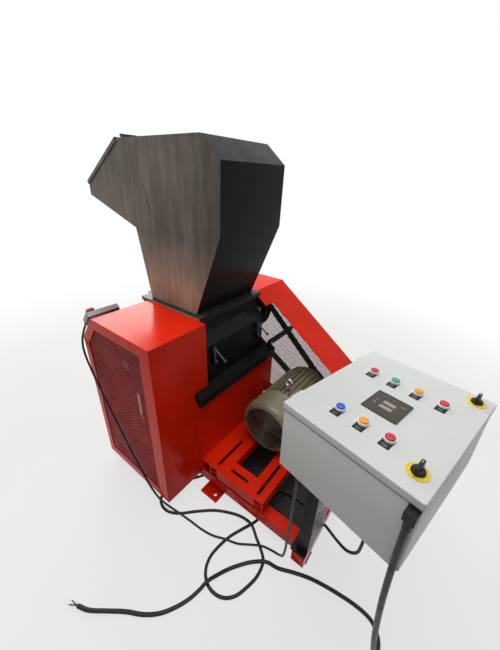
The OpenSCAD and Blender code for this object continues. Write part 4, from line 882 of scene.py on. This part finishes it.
def cabinet_cover():
    """Folded door with round edges and its half of the hinges."""
    half = cabinet_half()
    turns = [math.radians(90 * i / DOOR_STEPS) for i in range(DOOR_STEPS + 1)]
    levels = [(DOOR_BEND * (1 - math.sin(a)), -DOOR_BEND * (1 - math.cos(a))) for a in turns]
    levels += [(0, -DOOR_H), (FOLD_T, -DOOR_H), (FOLD_T, -DOOR_BEND), (DOOR_BEND, -SHEET)]
    shape = Shape()
    shape.rings([level(CAB, half, inset, z, max(DOOR_CORNER - inset, 1 * MM), 6) for inset, z in levels])
    for s in (-1, 1):
        x = s * HINGE_AT + KNUCKLE_GAP
        knuckle(shape, x)
        shape.box((x, half[1] - 1 * MM, CAB_HINGE_Z - LEAF_T / 2),
                  (x + KNUCKLE_L, CAB_HINGE_Y, CAB_HINGE_Z + LEAF_T / 2), LEAF_EDGE, CAB)
    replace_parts(shape.make("door_skin", "cabinet_paint", "door"), "cabinet_door")


def door_places(names):
    """Frame at the middle of each device on the door."""
    return [middle_of(name, CAB)[0] for name in names]


BUTTONS = ("button_blue", "button_orange_near", "button_red_near", "button_red_far", "button_green",
           "button_orange_far", "button_red_corner")
KNOBS = ("cam_knob_near", "cam_knob_far")
LEGEND_T = 1.2 * MM
BEZEL_R = 15 * MM
BEZEL_TOP = 9.2 * MM
CAP_R = 12.7 * MM
CAP_LOW = 6.4 * MM
CAP_TOP = 14.4 * MM
CAP_BEND = 2.2 * MM
CAP_DOME = 0.9 * MM
CAP_GAP = 0.35 * MM
LIP = 1.3 * MM
STEM_R = 4 * MM
STEM_L = 18 * MM
BARREL_R = 11 * MM
BARREL_L = 30 * MM
NUT_R = 14 * MM
NUT_T = 5 * MM


def push_buttons():
    """Each cap with its white bezel, its thread and its nut behind the door."""
    for name, place in zip(BUTTONS, door_places(BUTTONS)):
        label = name.replace("button", "cap")
        profile = [(0.2 * MM, CAP_LOW - STEM_L), (STEM_R, CAP_LOW - STEM_L), (STEM_R, CAP_LOW),
                   (CAP_R, CAP_LOW)] + arc_profile(CAP_R - CAP_BEND, CAP_TOP - CAP_BEND, 0, 90, CAP_BEND)
        profile += [(CAP_R * share, CAP_TOP + CAP_DOME * (1 - share * share))
                    for share in (0.75, 0.5, 0.25, 0.02)]
        shape = Shape()
        shape.lathe(profile, place)
        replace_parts(shape.make(label, name.split("_")[1] + "_cap", label), name)
    shape = Shape()
    nuts = Shape()
    bore = STEM_R + 0.1 * MM
    seat = LEGEND_T + 1 * MM
    thread = BARREL_R + 0.05 * MM
    profile = [(BARREL_R, -BARREL_L), (BARREL_R, LEGEND_T), (BEZEL_R, LEGEND_T + 0.1 * MM)]
    profile += arc_profile(BEZEL_R - LIP, BEZEL_TOP - LIP, 0, 90, LIP, 4)
    profile += [(CAP_R + CAP_GAP, BEZEL_TOP), (CAP_R + CAP_GAP, seat), (bore, seat), (bore, -BARREL_L)]
    for place in door_places(BUTTONS):
        shape.lathe(profile, place, looped=True)
        nuts.lathe([(thread, -SHEET - NUT_T), (NUT_R, -SHEET - NUT_T), (NUT_R, -SHEET), (thread, -SHEET)],
                   place, 6, looped=True)
    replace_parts(shape.make("bezel_rings", "white_plastic", "door"), "button_bezels")
    nuts.make("bezel_nuts", "black_plastic", "door")


PLATE_L = 34 * MM
PLATE_BEND = 1.5 * MM
LABEL_IN = 8.5 * MM
# Place across the plate and half length of each bar of a label
BARS = ((-3 * MM, 6.6 * MM), (3 * MM, 8.8 * MM))
BAR_HALF = 0.9 * MM
BAR_T = 0.12 * MM


def legends():
    """Black legend plates with a plain light label beside each button."""
    plates = Shape()
    labels = Shape()
    half = PLATE_L / 2
    for spot in door_places(BUTTONS):
        place = spot @ Matrix.Translation((-half, 0, 0))
        plates.prism(rounded(half, BEZEL_R * 0.96, PLATE_BEND), 0.02 * MM, LEGEND_T, place)
        for x, long in BARS:
            labels.prism(rounded(BAR_HALF, long, 0.4 * MM), LEGEND_T, LEGEND_T + BAR_T,
                         place @ Matrix.Translation((LABEL_IN - half + x, 0, 0)))
    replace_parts(plates.make("legend_tabs", "black_plastic", "door", bevel=0.2 * MM), "legend_plates")
    labels.make("legend_marks", "grey_print", "door")


DISC_R = 26 * MM
DISC_T = 2 * MM
DISC_BORE = 4.2 * MM
TICKS = 24
TICK_IN = 2 * MM
TICK_HALF = 0.45 * MM
KNOB_R = 16 * MM
KNOB_LOW = 2.3 * MM
KNOB_BASE = 8 * MM
WING_L = 42 * MM
WING_W = 11 * MM
WING_H = 16 * MM
# Levels of the knob's wing: shares of its height, its width and its length
WING_LEVELS = ((0, 1, 1), (0.25, 0.86, 1), (0.6, 0.8, 1), (0.85, 0.86, 1), (0.96, 0.72, 0.96), (1, 0.4, 0.9))
POINTER_HALF = 0.6 * MM


def cam_switches():
    """Yellow dials with plain ticks, and winged knobs with a pointer."""
    discs = Shape()
    ticks = Shape()
    for place in door_places(KNOBS):
        discs.lathe([(DISC_BORE, 0), (DISC_R, 0), (DISC_R, DISC_T - 0.5 * MM), (DISC_R - 0.6 * MM, DISC_T),
                     (DISC_BORE, DISC_T)], place, FINE_SIDES, looped=True)
        for k in range(TICKS):
            turn = place @ Matrix.Rotation(2 * math.pi * k / TICKS, 4, "Z")
            long = 5 * MM if k % 3 == 0 else 3 * MM
            ticks.box((DISC_R - TICK_IN - long, -TICK_HALF, DISC_T - 0.05 * MM),
                      (DISC_R - TICK_IN, TICK_HALF, DISC_T + 0.12 * MM), 0, turn)
    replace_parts(discs.make("cam_dials", "yellow_plate", "door"), "cam_discs")
    ticks.make("cam_ticks", "dark_mark", "door")
    for name, spot in zip(KNOBS, door_places(KNOBS)):
        place = spot @ Matrix.Translation((0, 0, KNOB_LOW))
        body = name.replace("cam_", "")
        shape = Shape()
        shape.lathe([(0.3 * MM, -BARREL_L), (4 * MM, -BARREL_L), (4 * MM, 0), (KNOB_R, 0),
                     (KNOB_R, KNOB_BASE * 0.5), (KNOB_R * 0.93, KNOB_BASE * 0.8), (KNOB_R * 0.8, KNOB_BASE),
                     (0.3 * MM, KNOB_BASE)], place, 40)
        rings = []
        for high, wide, long in WING_LEVELS:
            half = (WING_L / 2 * long, WING_W / 2 * wide)
            z = KNOB_BASE - 1 * MM + high * (WING_H + 1 * MM)
            rings.append(level(place, half, 0, z, half[1] * 0.96))
        shape.rings(rings)
        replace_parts(shape.make("wing_" + body, "black_plastic", body, sharp=50), name)
        line = Shape()
        line.box((WING_L * 0.12, -POINTER_HALF, KNOB_BASE + WING_H - 0.35 * MM),
                 (WING_L * 0.4, POINTER_HALF, KNOB_BASE + WING_H + 0.15 * MM), 0, place)
        line.make(body.replace("knob", "pointer"), "mark", body)


METER_EDGE = 4 * MM
METER_NECK = 6.4 * MM
METER_SINK = 0.8 * MM
WINDOW_L = 36 * MM
WINDOW_W = 14.5 * MM
# Places on the meter's face, across and along it
WINDOWS_AT = ((-14 * MM, -2 * MM), (10 * MM, -2 * MM))
LIGHTS_AT = ((-11 * MM, 33 * MM), (7 * MM, 33 * MM))
KEYS_AT = ((36 * MM, 22 * MM), (36 * MM, 10 * MM), (36 * MM, -2 * MM))
BARS_AT = ((30 * MM, -36 * MM), (26.6 * MM, -36 * MM), (23.2 * MM, -36 * MM), (19.8 * MM, -36 * MM))


def display():
    """Dark meter with two light windows, two lamps, keys and plain bars."""
    place, half, low, top = middle_of("display_panel", CAB)
    face = top - METER_SINK
    shape = Shape()
    shape.rings([level(place, half, inset, z, bend) for inset, z, bend in (
        (METER_NECK, low, 2 * MM), (METER_NECK, 0, 2 * MM), (0, 0.05 * MM, 3 * MM), (0, top * 0.6, 3 * MM),
        (1.2 * MM, top, 3 * MM), (METER_EDGE, top, 2 * MM), (METER_EDGE + 0.4 * MM, face, 2 * MM))])
    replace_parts(shape.make("meter_body", "display_plastic", "door"), "display_panel")
    windows = Shape()
    marks = Shape()
    for window, light in zip(WINDOWS_AT, LIGHTS_AT):
        windows.prism(rounded(WINDOW_W / 2, WINDOW_L / 2, 1 * MM), face, face + 0.25 * MM,
                      place @ Matrix.Translation((*window, 0)))
        windows.lathe([(3 * MM, face), (3 * MM, face + 0.4 * MM), (2 * MM, face + 0.9 * MM)],
                      place @ Matrix.Translation((*light, 0)), 20)
    outlines = [(spot, 1.1 * MM, 4 * MM) for spot in KEYS_AT]
    outlines += [(spot, 0.7 * MM, (9 - k) * MM) for k, spot in enumerate(BARS_AT)]
    for spot, wide, long in outlines:
        marks.prism(rounded(wide, long, 0.3 * MM), face, face + 0.15 * MM,
                    place @ Matrix.Translation((*spot, 0)))
    windows.make("meter_windows", "window", "door")
    marks.make("meter_bars", "meter_mark", "door")


# Stop station
BASE_H = 15 * MM
LID_H = 41 * MM
BASE_IN = 2 * MM
COLLAR_BORE = 8.2 * MM
COLLAR_R = 17 * MM
STATION_SCREW = 7 * MM
STATION_SCREW_IN = 9 * MM
MUSHROOM_R = 20 * MM
MUSHROOM_BEND = 5 * MM
MUSHROOM_DOME = 2.5 * MM
MUSHROOM_STEM = 8 * MM


def stop_station():
    """Two part enclosure on the guard's sloped corner, with its mushroom button."""
    place, half, low, _ = middle_of("stop_station", STATION)
    spot, _, button_low, top = middle_of("estop_button", STATION)
    base_top = low + BASE_H
    lid_top = low + LID_H
    base = Shape()
    base.prism(rounded(half[0] - BASE_IN, half[1] - BASE_IN, 4 * MM), low, base_top + 0.5 * MM, place)
    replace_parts(base.make("station_base", "black_plastic", "root", bevel=0.8 * MM),
                "stop_station")
    lid = Shape()
    lid.rings([level(place, half, inset, z, 5 * MM) for inset, z in (
        (0.6 * MM, base_top), (0, base_top + 0.8 * MM), (0.3 * MM, lid_top - 3 * MM),
        (1.2 * MM, lid_top - 1 * MM), (3 * MM, lid_top))])
    foot = lid_top - 2 * MM
    crest = lid_top + 6 * MM
    lid.lathe([(COLLAR_BORE, foot), (COLLAR_R, foot), (COLLAR_R, crest - 2 * MM),
               (COLLAR_R - 1.5 * MM, crest), (COLLAR_BORE, crest)], spot, looped=True)
    lid.make("station_lid", "station_plastic", "root")
    screws = Shape()
    x = half[0] - STATION_SCREW_IN
    y = half[1] - STATION_SCREW_IN
    for at in ((-x, -y), (-x, y), (x, -y), (x, y)):
        pan_head(screws, place @ Vector((*at, lid_top)), STATION_Z, STATION_SCREW)
    screws.make("station_screws", "zinc_steel", "root")
    button = Shape()
    profile = [(0.3 * MM, button_low), (MUSHROOM_STEM, button_low), (MUSHROOM_STEM, top - 15 * MM),
               (MUSHROOM_R, top - 13 * MM)]
    profile += arc_profile(MUSHROOM_R - MUSHROOM_BEND, top - MUSHROOM_DOME - MUSHROOM_BEND * 0.8, 0, 90,
                           MUSHROOM_BEND)
    profile += [(MUSHROOM_R * share, top - MUSHROOM_DOME * share * share)
                for share in (0.6, 0.35, 0.1, 0.01)]
    button.lathe(profile, spot, 56)
    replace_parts(button.make("mushroom_cap", "red_cap", "mushroom"), "estop_button")


STAY_IN = 12.5 * MM
STAY_BOLT = 13 * MM


def stay_bolt():
    """Bolt that holds the stay to the guard."""
    low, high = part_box("guard_stay")
    shape = Shape()
    hex_head(shape, Vector((low.x + STAY_IN, low.y, high.z - STAY_IN)), (0, -1, 0), STAY_BOLT)
    shape.make("stay_bolts", "zinc_steel", "root")


# Floor, background and lamps
FLOOR = 40.0
# Inset, soft edge and front end of the painted shadow on the floor inside the base frame, and its dark colour
FRAME_SHADE_IN = 55 * MM
FRAME_SHADE_SOFT = 50 * MM
FRAME_SHADE_END = 20 * MM
FRAME_SHADE_COLOUR = (0.025, 0.022, 0.022)
FLOOR_TOP = -0.0005
FLOOR_FOOT = -0.02
FLOOR_DARK = (0.40, 0.40, 0.40)
FLOOR_PALE = (0.46, 0.46, 0.45)
# Distances between which the floor fades to white, and its share of white up close
FLOOR_NEAR = 1.9
FLOOR_FAR = 3.4
FLOOR_WHITE = 0.68
# Direction of the room's bright side, where it fades, and the light from both sides
BRIGHT_SIDE = (0.10, 0.97, 0.22)
BRIGHT_SPREAD = (-0.05, 0.8)
DIM = (0.10, 0.11, 0.135)
BRIGHT = (1.15, 1.08, 0.98)
ROOM_LIGHT = 0.75


def seen(tree):
    """1 for camera, glossy and transmission rays, which meet the white background."""
    rays = add_node(tree, "LightPath")
    either = maths(tree, "MAXIMUM", rays["Is Camera Ray"], rays["Is Glossy Ray"])
    return maths(tree, "MAXIMUM", either, rays["Is Transmission Ray"])


def shade_under_frame(tree):
    """1 on the floor inside the base frame, where a painted shadow darkens it, 0 outside it."""
    low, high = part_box("base_frame")
    place = own_place(tree)
    x = times(tree, spread(tree, place["X"], 0, 1, low.x + FRAME_SHADE_IN, low.x + FRAME_SHADE_IN + FRAME_SHADE_SOFT),
              spread(tree, place["X"], 0, 1, high.x - FRAME_SHADE_IN, high.x - FRAME_SHADE_IN - FRAME_SHADE_SOFT))
    y = times(tree, spread(tree, place["Y"], 0, 1, low.y + FRAME_SHADE_END, low.y + FRAME_SHADE_IN),
              spread(tree, place["Y"], 0, 1, high.y - FRAME_SHADE_IN, high.y - FRAME_SHADE_IN - FRAME_SHADE_SOFT))
    return times(tree, x, y)


def vector_value(tree, operation, *vectors):
    """Number that a vector operation gives."""
    return add_node(tree, "VectorMath", dict(enumerate(vectors)), operation=operation)["Value"]


def blend(tree, factor, first, second):
    """Mix of two shaders."""
    return add_node(tree, "MixShader", {0: factor, 1: first, 2: second})[0]


def make_floor():
    """Pale floor that fades to white away from the machine, with a painted shadow inside the base frame."""
    ground = Shape()
    ground.prism([(-FLOOR, -FLOOR), (FLOOR, -FLOOR), (FLOOR, FLOOR), (-FLOOR, FLOOR)], FLOOR_FOOT, FLOOR_TOP)
    data = bpy.data.meshes.new("floor")
    ground.mesh.to_mesh(data)
    ground.mesh.free()
    add_object("floor", data)
    material, tree, shader = start_material("pale_floor")
    tone = mixed(tree, spread(tree, noise(tree, 1.5, 5), 0, 1), FLOOR_DARK, FLOOR_PALE)
    # Painted shadow: the floor inside the base frame is darkened and left out of the fade to white
    under = shade_under_frame(tree)
    fill(tree, shader, {"Roughness": 0.85, "Base Color": mixed(tree, under, tone, FRAME_SHADE_COLOUR)})
    away = vector_value(tree, "LENGTH", add_node(tree, "TexCoord")["Object"])
    far = spread(tree, away, FLOOR_WHITE, 1, FLOOR_NEAR, FLOOR_FAR)
    share = times(tree, times(tree, far, spread(tree, under, 1, 0)), seen(tree))
    faded = blend(tree, share, shader.outputs[0], add_node(tree, "Emission")[0])
    fill(tree, tree.nodes["Material Output"], {"Surface": faded})
    data.materials.append(material)


def make_world():
    """White background, and a soft room that is brighter on one side."""
    world = bpy.data.worlds.new("soft_room")
    bpy.context.scene.world = world
    world.use_nodes = True
    tree = world.node_tree
    tree.nodes.clear()
    side = vector_value(tree, "DOT_PRODUCT", add_node(tree, "TexCoord")["Generated"], BRIGHT_SIDE)
    tone = mixed(tree, spread(tree, side, 0, 1, *BRIGHT_SPREAD), DIM, BRIGHT)
    soft = add_node(tree, "Background", {"Color": tone, "Strength": ROOM_LIGHT})[0]
    white = add_node(tree, "Background", {"Color": (1, 1, 1, 1), "Strength": 1.0})[0]
    add_node(tree, "OutputWorld", {"Surface": blend(tree, seen(tree), soft, white)})
    bpy.context.scene.view_settings.view_transform = "Standard"


# Name, place, target, size in metres, power in watts and colour of each lamp
LAMPS = (
    ("window_lamp", (1.9, 3.6, 2.9), (-0.3, 0.0, 0.9), (3.4, 2.4), 190, (1.0, 0.97, 0.92)),
    ("front_lamp", (-2.6, -3.0, 3.4), (-0.1, -0.3, 0.7), (2.5, 2.5), 5, (0.93, 0.96, 1.0)),
    ("top_lamp", (-0.2, -0.6, 4.0), (-0.2, -0.5, 0.7), (3.0, 3.0), 95, (1.0, 1.0, 1.0)),
)


def make_lamps():
    """Soft rectangular lamps that the camera doesn't see."""
    for name, place, target, size, power, colour in LAMPS:
        data = bpy.data.lights.new(name, "AREA")
        data.shape = "RECTANGLE"
        data.size, data.size_y = size
        data.energy = power
        data.color = colour
        light = add_object(name, data)
        light.location = place
        light.rotation_euler = (Vector(target) - Vector(place)).to_track_quat("-Z", "Y").to_euler()
        light.visible_camera = False


hopper_seams()
expanded_metal("flywheel_mesh", "flywheel_guard_mesh")
expanded_metal("belt_mesh", "belt_guard_mesh")
fan_cowl()
terminal_box_screws()
cabinet_shell()
cabinet_cover()
push_buttons()
legends()
cam_switches()
display()
stop_station()
stay_bolt()
dress_nodes()
make_floor()
make_world()
make_lamps()
